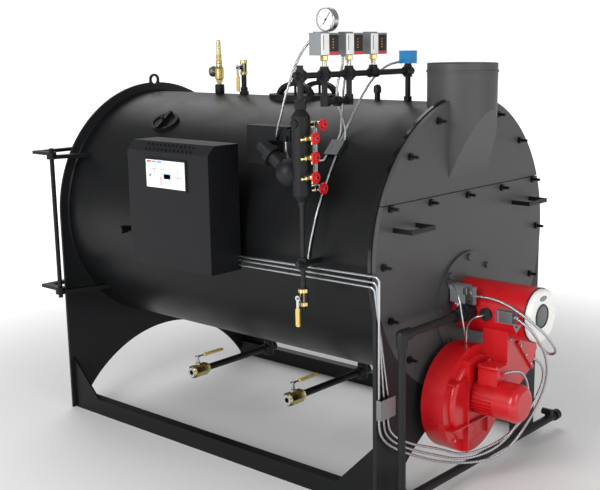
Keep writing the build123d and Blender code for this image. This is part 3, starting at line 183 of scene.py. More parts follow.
# %% Finishes of the solids
finish_of = {
    half_lit_plate_black: "front_saddle_plate rear_saddle_plate",
    satin_black: "shell skid_rails smokebox_ring door_hardware panel_mounts rear_hinge_brackets rear_door "
                 "manway inspection_ports",
    lit_front_black: "upper_front_door lower_front_door stack burner_plate",
    panel_grey: "control_panel low_water_switch panel_screen",
    burner_red: "burner_housing burner_air_duct fan_casing fan_motor",
    cap_white: "burner_end_cap",
    box_grey: "burner_controls pressure_controls",
    sky_blue: "limit_control",
    pipe_black: "gas_pipework manifold_pipework column_drain blowdown_pipes vent_valve",
    column_iron: "water_column float_chamber",
    brass: "safety_valve blowdown_valves",
    steel: "pressure_gauge vent_lever drain_lever blowdown_lever_rear blowdown_lever_front",
    zinc: "rigid_conduits",
    plate_steel: "conduit_clamps",
    wheel_red: "gauge_wheel_top gauge_wheel_bottom cock_wheel_high cock_wheel_middle cock_wheel_low",
}
for finish, names in finish_of.items():
    for name in names.split():
        nodes[name].data.materials.clear()
        nodes[name].data.materials.append(finish)
missing = set(nodes) - {name for names in finish_of.values() for name in names.split()}
print("solids still to dress:", sorted(missing))

# %% [markdown]
# The sight tube of the water gauge is borosilicate glass. It lets light through and keeps the usual
# index of 1.47, so it shows as a bright line with dark edges.

# %% Glass
clear_glass = surface("borosilicate_glass", "#E4EEEE", "#F4FAFA", 40, (0.02, 0.06), 8, 0.00001, IOR=1.47)
clear_glass.node_tree.nodes["Principled BSDF"].inputs["Transmission Weight"].default_value = 0.75
nodes["gauge_glass"].data.materials.clear()
nodes["gauge_glass"].data.materials.append(clear_glass)
print("glass finish:", clear_glass.name)

# %% [markdown]
# Cables run inside flexible conduit: a strip of zinc wound into a ribbed tube. Each one is a smooth
# curve through the route of its solid, with a round section. The ribs follow the curve, so their
# pattern reads the curve's own length from its UV map. Real ribs are about three millimetres apart,
# which is too fine to show here, so they are drawn six apart.


# %% Ribbed conduit finish
def ribbed_conduit(name, length):
    """Zinc strip wound into ribs, which follow the curve's own length; the grooves carry painted shade and
    the crests a painted highlight.
    """
    material = surface(name, "#A6A9AC", "#D2D5D8", 30, (0.24, 0.36), 1.5, 0.00002, Metallic=1.0)
    tree = material.node_tree
    shader = tree.nodes["Principled BSDF"]
    rib_pitch = 0.006
    along = add_node(tree, "ShaderNodeSeparateXYZ", None,
                     {"Vector": add_node(tree, "ShaderNodeTexCoord").outputs["UV"]}).outputs["X"]
    phase = add_node(tree, "ShaderNodeMath", {"operation": "MULTIPLY", 1: 2 * math.pi * length / rib_pitch},
                     {0: along}).outputs[0]
    wave = add_node(tree, "ShaderNodeMath", {"operation": "SINE"}, {0: phase}).outputs[0]
    ribs = add_node(tree, "ShaderNodeMapRange", {"From Min": -1, "From Max": 1}, {"Value": wave})
    # The rib colour runs from dark in the grooves to bright on the crests: painted shade and painted
    # highlight, not the zinc's own colour.
    shade = add_node(tree, "ShaderNodeMix", {"data_type": "RGBA", 6: from_hex("#4E5154"),
                                             7: from_hex("#F0F2F4")}, {0: ribs.outputs["Result"]})
    relief = add_node(tree, "ShaderNodeBump", {"Strength": 0.5, "Distance": 0.001},
                      {"Height": ribs.outputs["Result"]})
    tree.links.new(shade.outputs[2], shader.inputs["Base Color"])
    tree.links.new(relief.outputs["Normal"], shader.inputs["Normal"])
    return material


# %% Flexible conduits
routes = { "level_conduit": (0.467, 0.011, [ (700.7, -636.0, 2033.3), (676, -650, 2002), (665, -684, 1950),
                                            (658, -712, 1893), (647, -727, 1838), (630, -736, 1778),
                                            (608, -733, 1716), (577, -722, 1665), (556.2, -709.2, 1619.9)]),
          "limit_conduit": (0.570, 0.011, [ (720.5, -40.8, 1927.1), (712, -90, 1922), (707, -150, 1900),
                                           (703, -207, 1864), (701, -262, 1815), (698, -315, 1755),
                                           (695, -358, 1696), (693, -396, 1642), (692, -427, 1596),
                                           (692.0, -455.6, 1566.7)]),
          "near_control_conduit": (0.414, 0.011, [ (718.0, -448.0, 1958.0), (718, -448, 1930),
                                                  (711, -453, 1898), (704, -463, 1862), (700, -470, 1822),
                                                  (699, -470, 1782), (700, -460, 1742), (702, -444, 1703),
                                                  (704, -428, 1666), (707, -420, 1631), (710, -427, 1596),
                                                  (712.0, -455.6, 1566.7)]),
          "far_control_conduit": (0.409, 0.011, [ (718.0, -412.0, 1958.0), (718, -412, 1930),
                                                 (711, -415, 1898), (704, -420, 1862), (700, -424, 1822),
                                                 (696, -425, 1780), (691, -422, 1738), (685, -420, 1698),
                                                 (679, -417, 1660), (675, -414, 1628), (672, -427, 1596),
                                                 (672.0, -455.6, 1566.7)]),
          "actuator_conduit": (1.624, 0.012, [ (1090.3, -670, 425), (1090.3, -670, 372), (1103, -640, 318),
                                              (1124, -576, 270), (1150, -490, 224), (1182, -380, 170),
                                              (1222, -245, 125), (1285, -120, 112), (1350, -60, 150),
                                              (1390, -15, 215), (1435, 0, 300), (1470, 20, 385),
                                              (1495, 40, 470), (1515, 25, 560), (1530, -25, 650),
                                              (1532, -100, 735), (1512, -148, 800),
                                              (1453.2, -146.2, 826.3)]),
          "motor_conduit": (1.269, 0.012, [ (1090.3, -638, 425), (1090.3, -638, 376), (1103, -612, 326),
                                           (1126, -556, 284), (1153, -474, 240), (1185, -368, 194),
                                           (1230, -240, 142), (1290, -120, 150), (1345, -60, 200),
                                           (1390, -25, 280), (1440, -20, 370), (1462, -45, 470),
                                           (1462, -75, 545), (1447, -120, 590), (1403.4, -159.3, 571.7)]),
          "damper_conduit": (1.234, 0.012, [ (1090.3, -608, 425), (1090.3, -608, 380), (1106, -588, 335),
                                            (1130, -536, 298), (1158, -455, 260), (1190, -352, 222),
                                            (1235, -230, 160), (1300, -90, 180), (1345, -10, 225),
                                            (1385, 70, 300), (1405, 140, 390), (1408, 186, 455),
                                            (1392, 206, 512), (1364, 184, 548), (1343.9, 147.2, 567.2)]),
          "gas_switch_conduit": (0.670, 0.012, [ (1243.0, -149.6, 898.9), (1290, -150, 902),
                                                (1350, -153, 899), (1412, -154, 883), (1472, -146, 853),
                                                (1528, -124, 808), (1562, -88, 762), (1575, -45, 712),
                                                (1571, -2, 668), (1538, 24, 641), (1492, 34, 640),
                                                (1442.3, 43.8, 689.7)]), }
for name, (length, diameter, points) in routes.items():
    curve = bpy.data.curves.new(name + "_tube", "CURVE")
    curve.dimensions = "3D"
    curve.resolution_u = 8
    curve.bevel_depth = diameter / 2
    curve.bevel_resolution = 4
    curve.use_fill_caps = True
    spline = curve.splines.new("NURBS")
    spline.points.add(len(points) - 1)
    for point, place in zip(spline.points, points):
        point.co = (*[c / 1000 for c in place], 1)
    spline.order_u = 3
    spline.use_endpoint_u = True
    tube = bpy.data.objects.new(name + "_tube", curve)
    bpy.context.collection.objects.link(tube)
    curve.materials.append(ribbed_conduit(name + "_zinc_painted_rib_shade_and_highlight", length))
    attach(tube, ROOT)
    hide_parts(name)
print("conduits laid:", len(routes))

# %% [markdown]
# The small pieces are modelled one by one. Round ones are turned: one point is drawn out into the
# outline of half the piece, and the outline is spun round its axis. Flat ones start as a block whose
# edges are rounded. A finished piece has its place in its mesh, and rides on the body that carries it.


# %% Helpers for pieces
def settle(piece, name, finish, body=ROOT):
    """Puts the place into the mesh, smooths it, names it, and lets it ride on its body."""
    bpy.ops.object.select_all(action="DESELECT")
    piece.select_set(True)
    bpy.context.view_layer.objects.active = piece
    bpy.ops.object.transform_apply(location=True, rotation=True, scale=True)
    bpy.ops.object.shade_smooth_by_angle(angle=math.radians(32))
    piece.name = name
    piece.data.name = name
    piece.data.materials.clear()
    piece.data.materials.append(finish)
    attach(piece, body)
    return piece


def metres(place):
    """A place in millimetres as a vector in metres."""
    return Vector(place) / 1000


def turned(name, outline, place, axis, finish, body=ROOT, steps=40):
    """Turns an outline of (distance along the axis, radius) pairs, all in millimetres."""
    bpy.ops.object.select_all(action="DESELECT")
    bpy.ops.mesh.primitive_plane_add(size=0.001)
    piece = bpy.context.object
    bpy.ops.object.mode_set(mode="EDIT")
    bpy.ops.mesh.merge(type="CENTER")
    bpy.ops.transform.translate(value=metres((outline[0][1], 0, outline[0][0])))
    for (along, radius), (next_along, next_radius) in zip(outline, outline[1:]):
        step = metres((next_radius - radius, 0, next_along - along))
        bpy.ops.mesh.extrude_vertices_move(TRANSFORM_OT_translate={"value": step})
    bpy.ops.mesh.select_all(action="SELECT")
    bpy.ops.mesh.spin(steps=steps, angle=math.radians(360), center=(0, 0, 0), axis=(0, 0, 1))
    bpy.ops.mesh.select_all(action="SELECT")
    bpy.ops.mesh.remove_doubles(threshold=1e-6)
    bpy.ops.mesh.normals_make_consistent(inside=False)
    bpy.ops.object.mode_set(mode="OBJECT")
    piece.rotation_euler = Vector(axis).to_track_quat("Z", "Y").to_euler()
    piece.location = metres(place)
    return settle(piece, name, finish, body)


def rounded_block(name, low, high, finish, edge=1.0, body=ROOT, turn=None):
    """A block between two corners, in millimetres, with rounded edges."""
    bpy.ops.object.select_all(action="DESELECT")
    middle = (metres(low) + metres(high)) / 2
    bpy.ops.mesh.primitive_cube_add(size=1, location=middle, scale=metres(high) - metres(low))
    piece = bpy.context.object
    bpy.ops.object.transform_apply(location=False, rotation=False, scale=True)
    bpy.ops.object.mode_set(mode="EDIT")
    bpy.ops.mesh.select_all(action="SELECT")
    bpy.ops.mesh.bevel(offset=edge / 1000, segments=3, affect="EDGES")
    bpy.ops.object.mode_set(mode="OBJECT")
    if turn:
        piece.rotation_euler = turn
    return settle(piece, name, finish, body)


def copied(piece, name, shift, body=ROOT):
    """A copy with a mesh of its own, moved by a shift in millimetres."""
    twin = piece.copy()
    twin.data = piece.data.copy()
    bpy.context.collection.objects.link(twin)
    twin.data.transform(Matrix.Translation(metres(shift)))
    twin.name = name
    twin.data.name = name
    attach(twin, body)
    return twin


def joined(pieces, name):
    """Several finished pieces made one."""
    bpy.ops.object.select_all(action="DESELECT")
    for piece in pieces:
        piece.select_set(True)
    bpy.context.view_layer.objects.active = pieces[0]
    bpy.ops.object.join()
    pieces[0].name = name
    pieces[0].data.name = name
    return pieces[0]


def bolt_row(name, places, axis, finish, radius=6, height=5, body=ROOT):
    """One domed hexagon bolt on its washer, turned once and copied to every place."""
    outline = [(-1, 0), (-1, radius * 1.3), (1, radius * 1.3), (1, radius), (height - 1, radius),
               (height, radius * 0.8), (height, 0)]
    first = turned(name, outline, places[0], axis, finish, body, steps=6)
    copies = [copied(first, name + "_copy", Vector(place) - Vector(places[0]),
                     body) for place in places[1:]]
    return joined([first] + copies, name)


# %% [markdown]
# The brass ball valves under the drum have an eight-sided body, a plain steel face round the bore, and
# a nut on the stem. They stand for the plain round solids of the CAD.

# %% Blow-down valves
valve_outline = [(1, 14), (1, 27), (6, 33), (13, 36), (88, 36), (96, 31), (112, 26), (112, 14), (1, 14)]
face_outline = [(-1, 13), (-1, 25), (2, 27), (2, 13), (-1, 13)]
stem_outline = [(32, 0), (32, 14), (42, 14), (44, 10), (52, 10), (52, 8), (70, 8), (72, 5), (81, 5), (81, 0)]
for where, x in (("rear", -212), ("front", 460)):
    body_piece = turned(f"blowdown_valve_body_{where}", valve_outline, (x, -575, 352), (0, 1, 0),
                        brass, steps=8)
    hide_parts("blowdown_valves")
    turned(f"blowdown_valve_face_{where}", face_outline, (x, -575, 352), (0, 1, 0), steel)
    turned(f"blowdown_valve_stem_{where}", stem_outline, (x, -530.2, 352), (0, 0, 1),
           steel, steps=6)
print("valves under the drum: 2")

# %% [markdown]
# A ball valve's lever is a steel strip with a dipped vinyl grip. The grip is a soft-cornered sleeve that
# goes round the strip, so it is made as a block with large round edges.

# %% Lever grips
rounded_block("blowdown_grip_rear", (-222.5, -488.5, 421.5), (-201.5, -352, 432.5),
              grip_yellow, 5, "blowdown_lever_rear")
rounded_block("blowdown_grip_front", (449.5, -488.5, 421.5), (470.5, -352, 432.5),
              grip_yellow, 5, "blowdown_lever_front")
rounded_block("vent_grip", (-361.5, -50.5, 1761), (-340.5, -39.5, 1846), grip_yellow, 5,
              "vent_lever")
rounded_block("drain_grip", (730.5, -797.5, 811.5), (751.5, -786.5, 896.5), grip_yellow, 5,
              "drain_lever")
print("lever grips: 4")

# %% [markdown]
# The safety valve is turned brass on a black coupling: a hexagon to hold the spanner, the body with its
# open side outlet, the bonnet, and the long spring housing with two grooves.

# %% Safety valve and vent
coupling = turned("safety_valve_coupling", [(-2, 0), (-2, 23), (4, 26), (44, 26), (50, 22), (50, 0)],
                  (-541, 0, 1745), (0, 0, 1), pipe_black)
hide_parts("safety_valve")
turned("safety_valve_nut", [(50, 0), (50, 13), (60, 13), (60, 19), (75, 19), (77, 16), (77, 0)],
       (-541, 0, 1745), (0, 0, 1), brass, steps=6)
turned("safety_valve_body", [(76, 0), (76, 21), (79, 24), (134, 24), (140, 20), (146, 16), (160, 15),
                             (162, 17), (178, 17), (180, 14), (200, 14), (202, 16), (206, 16), (208, 12),
                             (284, 10), (286, 8), (286, 0)], (-541, 0, 1745), (0, 0, 1),
       brass)
turned("safety_valve_outlet", [(0, 0), (0, 13), (34, 13), (38, 24), (42, 29), (54, 29), (54, 24), (44, 18),
                               (44, 0)], (-541, 0, 1863), (-1, 0, 0), plate_steel)
turned("vent_valve_body", [(0, 0), (0, 16), (2, 19), (16, 19), (18, 16), (60, 16), (62, 19), (77, 19),
                           (79, 17), (79, 12), (70, 12), (70, 0)], (-351, 0, 1848), (0, 0, 1),
       brass, steps=8)
turned("vent_valve_stem", [(14, 0), (14, 11), (24, 11), (28, 8), (38, 8), (40, 5.5), (50, 5.5), (50, 0)],
       (-351, 0, 1887.5), (0, -1, 0), steel, steps=6)
turned("drain_valve_body", [(0, 0), (0, 20), (3, 23), (18, 23), (20, 20), (60, 20), (62, 23), (77, 23),
                            (80, 20), (80, 0)], (741, -755, 898), (0, 0, 1), brass, steps=8)
turned("drain_valve_stem", [(20, 0), (20, 9), (30, 9), (33, 6), (43, 5.5), (43, 0)], (741, -755, 938),
       (0, -1, 0), steel, steps=6)
print("crown valves dressed")

# %% [markdown]
# The pressure gauge is a stainless case with a rolled rim, a white dial, a ring of printed marks and a
# black pointer. Marks and pointer are thin plates just proud of the dial.

# %% Pressure gauge
gauge_middle = (741, -588, 2115)
turned("gauge_rim", [(-2, 43), (-2, 50), (3, 51), (6, 49), (6, 45), (1, 43), (-2, 43)], gauge_middle,
       (0, -1, 0), steel, steps=64)
turned("gauge_dial", [(-1, 0), (-1, 46), (0.8, 46), (0.8, 0)], gauge_middle, (0, -1, 0),
       label_white, steps=64)
marks = []
for step in range(21):
    turn = math.radians(-135 + 13.5 * step)
    size = (2.4, 0.6, 9) if step % 5 == 0 else (1.3, 0.6, 6)
    middle = Vector(gauge_middle) + Vector((math.sin(turn) * 36, -1.2, math.cos(turn) * 36))
    low = [c - s / 2 for c, s in zip(middle, size)]
    high = [c + s / 2 for c, s in zip(middle, size)]
    marks.append(rounded_block("gauge_mark", low, high, dark_plastic, 0.2,
                               turn=(0, turn, 0)))
joined(marks, "gauge_marks")
pointer_turn = math.radians(38)
pointer_middle = Vector(gauge_middle) + Vector((math.sin(pointer_turn) * 8, -3, math.cos(pointer_turn) * 8))
rounded_block("gauge_pointer", pointer_middle - Vector((1.6, 0.5, 34)),
              pointer_middle + Vector((1.6, 0.5, 30)), dark_plastic, 0.4,
              turn=(0, pointer_turn, 0))
turned("gauge_boss", [(0, 0), (0, 5), (3.5, 4.5), (4, 3), (4, 0)], gauge_middle, (0, -1, 0),
       dark_plastic)
print("gauge marks:", len(marks))

# %% [markdown]
# Each pressure control is a grey box. Its burner side carries a white scale plate, and a dark window
# over a red strip. Below it are a brass hexagon and a short nipple.

# %% Pressure controls
amber = surface("amber_lamp_lens", "#D8781C", "#F0A040", 6, (0.15, 0.25), 2, 0.00001, IOR=1.49)
for number, y in enumerate((-600, -435, -264)):
    rounded_block(f"control_scale_{number}", (773, y - 57, 1969), (775.5, y - 6, 2057),
                  label_white, 0.8)
    rounded_block(f"control_window_{number}", (773, y - 4, 1982), (774.8, y + 57, 2056),
                  dark_plastic, 0.6)
    rounded_block(f"control_strip_{number}", (773, y - 4, 1968), (775.2, y + 57, 1981),
                  label_red, 0.6)
    rounded_block(f"control_scale_line_{number}", (775, y - 44, 1988), (776, y - 40, 2050),
                  dark_plastic, 0.3)
    for row in range(4):
        turned(f"control_lamp_{number}_{row}", [(0, 0), (0, 3.2), (1.6, 2.6), (2, 0)],
               (774.6, y + 20, 1998 + 12 * row), (1, 0, 0), amber, steps=16)
    rounded_block(f"control_lid_{number}", (706.5, y - 59, 2052), (775, y + 59, 2060.5),
                  box_grey, 1.5)
    turned(f"control_hexagon_{number}", [(0, 9), (0, 16), (2, 17.5), (21, 17.5), (23, 16), (23, 9), (0, 9)],
           (741, y, 1944), (0, 0, 1), brass, steps=6)
    turned(f"control_nipple_{number}", [(0, 0), (0, 10), (22, 10), (24, 9.4), (24, 0)], (741, y, 1920),
           (0, 0, 1), nickel)
rounded_block("limit_lid", (710, -31, 1967), (772, 31, 1979), sky_blue, 2)
turned("limit_neck", [(0, 0), (0, 16), (7, 16), (8, 15), (8, 0)], (741, 0, 1912), (0, 0, 1),
       pipe_black)
print("pressure controls dressed: 3, limit control: 1")

# %% [markdown]
# On the water column, three try cocks of brass and the two nickel-plated valves of the gauge glass have
# a handwheel each. A handwheel is dipped iron: a round rim, a flat web with holes, and a nut in the middle.

# %% Water column cocks and wheels
cock_heights = (1631, 1550, 1466)
for number, z in enumerate(cock_heights):
    turned(f"cock_body_{number}", [(0, 0), (0, 12), (6, 15), (14, 15), (18, 12.6), (26, 12.6), (28, 9),
                                   (28, 4.4)], (791, -755, z), (1, 0, 0), brass, steps=24)
    turned(f"cock_spout_{number}", [(0, 0), (0, 4.6), (12, 4.6), (16, 6), (20, 6), (21, 5), (21, 0)],
           (803, -755, z - 8), (0, 0, -1), brass, steps=16)
for where, z in (("top", 1680), ("bottom", 1408)):
    turned(f"glass_valve_{where}", [(-14, 0), (-14, 12), (-12, 14), (12, 14), (15, 12), (22, 12), (24, 15),
                                    (34, 15), (36, 12), (38.5, 11), (38.5, 4.4)], (741, -669, z), (1, 0, 0),
           nickel, steps=24)
    turned(f"glass_nut_{where}", [(-15, 9), (-15, 13), (-13, 15), (13, 15), (15, 13), (15, 9), (-15, 9)],
           (741, -669, z), (0, 0, 1), nickel, steps=6)
for number, z in enumerate(cock_heights):
    turned(f"cock_tail_{number}", [(0, 0), (0, 8), (16, 8), (18, 11), (26, 11), (28, 8), (44, 7), (46, 5),
                                   (46, 0)], (795, -757, z - 1), (-0.3, -1, -0.12), brass,
           steps=24)
    turned(f"cock_root_{number}", [(-2, 0), (-2, 15), (14, 15), (16, 13), (16, 0)], (778, -755, z),
           (1, 0, 0), column_iron, steps=6)
wheels = {"gauge_wheel_top": (787, -669, 1680), "cock_wheel_high": (819, -755, 1631),
          "cock_wheel_middle": (819, -755, 1550), "cock_wheel_low": (819, -755, 1466),
          "gauge_wheel_bottom": (787, -669, 1408)}
for name, place in wheels.items():
    turned(name + "_rim", [(-1, 22), (1, 20), (5, 20), (7, 22), (6.5, 25), (3, 26), (-0.5, 25), (-1, 22)],
           place, (1, 0, 0), wheel_red, name)
    turned(name + "_nut", [(6, 4.2), (6, 7), (10, 7), (11, 6), (11, 4.2), (6, 4.2)], place, (1, 0, 0),
           steel, name, steps=6)
rounded_block("glass_back_strip", (734, -661.5, 1424), (748, -659.5, 1664), label_white, 0.5)
print("wheels:", len(wheels))

# %% [markdown]
# The panel's screen shows a plain diagram of its own: a blue bar, a grey tank and a few coloured
# fields, with no words. The fields are thin plates that stand just proud of one white plate.

# %% Panel screen
screen_y = -885
rounded_block("screen_glass", (-120, screen_y - 0.4, 1366), (147, screen_y + 1, 1494),
              label_white, 0.3)
screen_blue = surface("screen_blue_field", "#5E8FC4", "#79A6D6", 60, (0.2, 0.25), 2, 0.00001)
screen_dark = surface("screen_dark_field", "#31415A", "#3B4C66", 60, (0.2, 0.25), 2, 0.00001)
screen_pale = surface("screen_pale_field", "#BFCFE2", "#D2DEEC", 60, (0.2, 0.25), 2, 0.00001)
for number, (left, low, wide, high, finish) in enumerate((
        (-112, 1482, 30, 8, label_red), (-76, 1482, 30, 8, screen_blue), (-40, 1482, 30, 8, screen_blue),
        (104, 1474, 34, 16, screen_pale), (-108, 1452, 120, 2, screen_dark), (-60, 1410, 2, 42, screen_dark),
        (-100, 1412, 26, 20, screen_pale), (-96, 1416, 8, 12, screen_dark), (-10, 1404, 74, 34, screen_pale),
        (4, 1410, 46, 22, screen_blue), (70, 1420, 62, 2, screen_dark), (100, 1396, 2, 62, screen_dark),
        (-20, 1378, 6, 40, label_red), (-104, 1378, 40, 3, screen_pale), (10, 1378, 110, 5, screen_pale))):
    rounded_block(f"screen_field_{number}", (left, screen_y - 1.1, low), (left + wide, screen_y, low + high),
                  finish, 0.2)
print("screen fields:", number + 1)

# %% [markdown]
# Round the burner are the parts that a fitter would touch: the round sight window and the bare oval
# plate on the end cap, the scanner's black disc, the flange bolts, and the damper motor's stripes.

# %% Burner trim
dark_glass = surface("dark_sight_glass", "#3A3F40", "#4A4F50", 30, (0.08, 0.14), 8, 0.00001, IOR=1.52)
turned("end_cap_window", [(-8, 0), (-8, 51), (2, 51), (3, 40), (3.5, 0)], (1498, -14, 821), (1, 0, 0),
       dark_glass, steps=48)
turned("end_cap_window_ring", [(-4, 47), (3, 47), (5, 49), (5, 53), (3, 55), (-4, 55), (-4, 47)],
       (1498, -14, 821), (1, 0, 0), dark_plastic, steps=64)
oval = turned("end_cap_oval", [(-2, 0), (-2, 12), (1, 12), (2, 10), (2, 0)], (0, 0, 0), (1, 0, 0),
              box_grey, steps=48)
oval.data.transform(Matrix.Translation(metres((1498, -6, 900))) @ Matrix.Diagonal((1, 2.6, 1, 1)))
turned("burner_cap_seam", [(-3, 120), (-3, 125.8), (3, 125.8), (3, 120), (-3, 120)], (1470, 0, 818),
       (1, 0, 0), dark_plastic, steps=64)
turned("scanner_disc", [(0, 0), (0, 29), (14, 29.5), (16, 27), (16, 0)], (1280, -125, 818), (0, -1, 0),
       dark_plastic)
rounded_block("actuator_case", (1349, -167.6, 803), (1435, -140, 857.5),
              surface("graphite_moulded_case", "#4A4D50", "#5A5D60", 40, (0.35, 0.45), 1.5, 0.00006), 3)
rounded_block("actuator_red_stripe", (1366, -168.4, 803), (1370, -166, 857), label_red,
              0.5)
rounded_block("actuator_blue_stripe", (1362, -168.4, 803), (1365, -166, 857), sky_blue,
              0.5)
rounded_block("gas_switch_plate", (1190, -163.4, 858), (1234, -161.4, 938), plate_steel,
              0.8)
rounded_block("gas_switch_clip", (1178, -164.6, 900), (1196, -161.6, 934), steel, 0.8)
turned("gas_switch_vent", [(0, 0), (0, 5), (8, 5), (9, 8), (15, 8), (16, 5), (26, 5), (26, 0)],
       (1143, -150, 862), (0, 0, -1), cap_white)
turned("gas_switch_vent_cross", [(-15, 0), (-15, 4.5), (15, 4.5), (15, 0)], (1143, -150, 850), (1, 0, 0),
       cap_white)
bracket = turned("actuator_bracket", [(-1.5, 0), (-1.5, 26), (1.5, 26), (1.5, 0)], (0, 0, 0), (0, -1, 0),
                 plate_steel, steps=3)
bracket.data.transform(Matrix.Translation(metres((1461, -168, 797))) @ Matrix.Rotation(math.radians(90), 4,
                                                                                       "Y"))
turned("actuator_bracket_eye", [(0, 0), (0, 5), (1, 5), (1, 0)], (1461, -169, 799), (0, -1, 0),
       dark_plastic)
turned("actuator_nut", [(-10, 6), (-10, 12), (8, 12), (10, 10), (10, 6), (-10, 6)], (1448, -146, 830),
       (1, 0, 0), steel, steps=6)
turned("gas_switch_socket", [(0, 0), (0, 10), (4, 10), (6, 8), (6, 0)], (1214, -163, 915), (0, -1, 0),
       steel)
turned("gas_switch_button", [(0, 0), (0, 5), (3, 5), (3, 0)], (1214, -163, 875), (0, -1, 0),
       dark_plastic)
bolt_row("duct_flange_bolts", [(1393, y, 818 + z) for y, z in ((-10, -152), (40, -208), (88, -262))],
         (1, 0, 0), steel, 5, 5)
bolt_row("duct_face_bolts", [(1381, y, 818 + z) for y, z in ((-70, -80), (-80, -110), (70, -120))],
         (1, 0, 0), steel, 4, 4)
rounded_block("fan_bracket_upper_ear", (1248, -97, 546), (1286, -91, 642), burner_red, 1)
rounded_block("fan_bracket_lower_ear", (1248, -103, 252), (1286, -97, 332), burner_red, 1)
bolt_row("fan_bracket_ear_bolts", [(1267, -97, 620), (1267, -103, 300), (1267, -103, 266)], (0, -1, 0),
         steel, 4, 4)
rounded_block("terminal_lid", (1291, -214, 592), (1399, -116, 606), burner_red, 3)
bolt_row("terminal_lid_screws", [(x, y, 606) for x in (1300, 1390) for y in (-206, -124)], (0, 0, 1),
         steel, 3, 2)
bolt_row("fan_bracket_bolts", [(1256, y, z) for y, z in ((-315, 520), (-200, 600), (-330, 270), (-90, 290))],
         (1, 0, 0), steel, 5, 4)
print("meshes after the burner trim:", len(bpy.data.meshes))

# %% [markdown]
# Two thin sensing tubes run down to the fan casing. A tube bent by hand is a smooth curve with a round
# section, with its place in its points.


# %% Sensing tubes
def bent_tube(name, points, radius, finish):
    """A thin tube along a smooth curve through places in millimetres."""
    curve = bpy.data.curves.new(name, "CURVE")
    curve.dimensions = "3D"
    curve.resolution_u = 8
    curve.bevel_depth = radius / 1000
    curve.bevel_resolution = 3
    curve.use_fill_caps = True
    spline = curve.splines.new("NURBS")
    spline.points.add(len(points) - 1)
    for point, place in zip(spline.points, points):
        point.co = (*metres(place), 1)
    spline.order_u = 3
    spline.use_endpoint_u = True
    tube = bpy.data.objects.new(name, curve)
    bpy.context.collection.objects.link(tube)
    curve.materials.append(finish)
    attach(tube, ROOT)
    return tube


bent_tube("casing_sensing_tube", [(1110, -150, 900), (1096, -168, 938), (1118, -196, 966), (1170, -225, 956),
                                  (1214, -252, 915), (1232, -262, 862), (1242, -260, 805), (1238, -238, 748),
                                  (1218, -204, 704), (1206, -184, 670)], 4.5, zinc)
bent_tube("scanner_tube", [(1280, -141, 818), (1280, -166, 818), (1256, -176, 812), (1226, -178, 790),
                           (1206, -172, 752), (1200, -166, 710), (1200, -165, 670)], 4.5,
          zinc)
print("sensing tubes: 2")

# %% [markdown]
# Malleable fittings have a raised band round each socket, where the pipe screws in. The bands are one
# turned ring, copied to the ends of the tees. The spare nozzle on the crown has a round cap.

# %% Fitting bands and nozzle cap
band = [(-3, 17), (-3, 20), (-2, 21.5), (2, 21.5), (3, 20), (3, 17), (-3, 17)]
across_band = turned("manifold_band", band, (741, -577, 1885), (0, 1, 0), pipe_black)
across_places = [y + side for y in (-600, -435, -264) for side in (-24, 24)] + [-24, -731]
across_bands = [copied(across_band, "manifold_band_copy", (0, y + 577, 0))
                for y in across_places[:1] + across_places[2:]]
joined([across_band] + across_bands, "manifold_bands_across")
upright_band = turned("manifold_band_upright", band, (741, -600, 1909), (0, 0, 1),
                      pipe_black)
upright_bands = [copied(upright_band, "manifold_band_copy", (0, y + 600, lift))
                 for y, lift in ((-435, 0), (-264, 0), (-600, -48), (-435, -48), (0, -48), (-755, -48))]
joined([upright_band] + upright_bands, "manifold_bands_upright")
turned("nozzle_cap", [(-26, 0), (-26, 17), (-24, 19), (-4, 19), (3, 17), (9, 12), (12, 6), (13, 0)],
       (559, 0, 1806), (0, 0, 1), pipe_black)
print("fitting bands:", len(across_bands) + len(upright_bands) + 2)

# %% [markdown]
# A black gloss band is glued round the rim behind the doors, and weld beads run where plates meet the
# drum. Each is a thin ring, turned like the round pieces before.

# %% Rim band and welds
gloss_black = surface("black_gloss_tape", "#08080A", "#0D0D10", 60, (0.12, 0.18), 8, 0.00002, IOR=1.5)
turned("rim_band", [(2, 689.5), (2, 691.6), (18, 691.6), (18, 689.5), (2, 689.5)], (1045, 0, 1095),
       (1, 0, 0), gloss_black, steps=128)
for name, x in (("rear_weld", -1081), ("ring_weld", 1041)):
    turned(name, [(-4, 649), (-4, 651), (-1, 653), (3, 655), (4, 657), (4, 649), (-4, 649)], (x, 0, 1095),
           (1 if x > 0 else -1, 0, 0), satin_black, steps=128)
print("rim band: 1, weld beads: 2")

# %% [markdown]
# The studio is a white floor and a white room. The room is bright where the camera looks straight at it,
# and dimmer as a light, because black enamel would turn grey in a room that glows all round. One broad
# light from above draws the sheen along the crown, a large soft lamp lights the panel side, and a
# smaller one lights the doors.

# %% Floor
bpy.ops.object.select_all(action="DESELECT")
bpy.ops.mesh.primitive_plane_add(size=80)
floor = bpy.context.object
floor.name = "studio_floor"
floor_paint_and_glow = surface("white_studio_floor_painted_glow", "#F4F4F4", "#F7F7F7", 4000, (0.6, 0.7), 60, 0.00001)
floor_tree = floor_paint_and_glow.node_tree
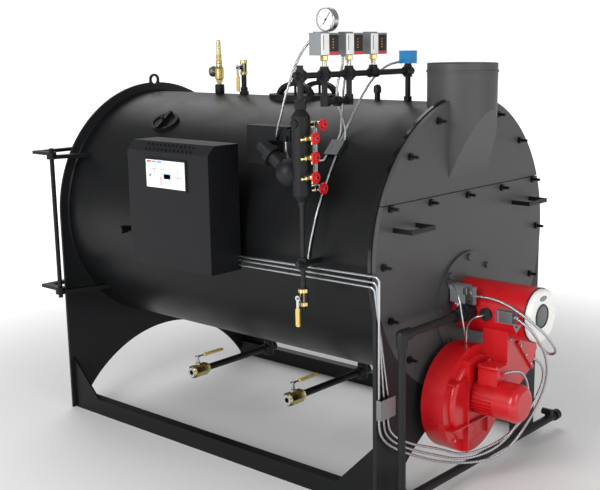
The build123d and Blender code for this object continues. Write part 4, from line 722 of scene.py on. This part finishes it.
# Away from the middle the floor gives off light of its own, from none at 1.4 m to 0.8 at 5 m: a painted glow
# that keeps the far floor white, though the floor is no lamp.
glow_starts, glow_full, glow_strength = 1.4, 5, 0.8
away = add_node(floor_tree, "ShaderNodeVectorMath", {"operation": "LENGTH"},
                {0: add_node(floor_tree, "ShaderNodeTexCoord").outputs["Object"]}).outputs["Value"]
glow = add_node(floor_tree, "ShaderNodeMapRange", {"interpolation_type": "SMOOTHSTEP",
                                                   "From Min": glow_starts, "From Max": glow_full,
                                                   "To Max": glow_strength},
                {"Value": away}).outputs["Result"]
floor_shader = floor_tree.nodes["Principled BSDF"]
floor_shader.inputs["Emission Color"].default_value = from_hex("#FFFFFF")
floor_tree.links.new(glow, floor_shader.inputs["Emission Strength"])
floor.data.materials.append(floor_paint_and_glow)
print("floor glows from", glow_starts, "m to", glow_full, "m")

# %% White room
world = bpy.data.worlds.new("studio")
bpy.context.scene.world = world
bpy.context.scene.view_settings.view_transform = "Standard"
world.use_nodes = True
room = world.node_tree
room_as_light, room_as_seen = 0.33, 1.05
seen = add_node(room, "ShaderNodeLightPath").outputs["Is Camera Ray"]
strength = add_node(room, "ShaderNodeMapRange", {"To Min": room_as_light, "To Max": room_as_seen},
                    {"Value": seen})
room.nodes["Background"].inputs["Color"].default_value = from_hex("#FFFFFF")
room.links.new(strength.outputs["Result"], room.nodes["Background"].inputs["Strength"])
print("room as a light:", room_as_light, "as seen:", room_as_seen)


# %% Lamps
def lamp_towards(name, kind, place, target, power):
    """A lamp that faces a point."""
    bpy.ops.object.light_add(type=kind, location=place)
    lamp = bpy.context.object
    lamp.name = name
    lamp.data.energy = power
    lamp.rotation_euler = (Vector(target) - Vector(place)).to_track_quat("-Z", "Y").to_euler()
    return lamp


sky = lamp_towards("overhead_light", "SUN", (-4, 3.2, 5), (0, 0, 0), 0.75)
sky.data.angle = math.radians(45)
side = lamp_towards("side_softbox", "AREA", (0.5, -7.5, 4.2), (0.6, 0, 1), 400)
side.data.size = 4
front = lamp_towards("front_softbox", "AREA", (6.5, -1.0, 3.2), (1.1, 0, 1), 90)
front.data.size = 3
print("lamps:", sky.name, side.name, front.name)
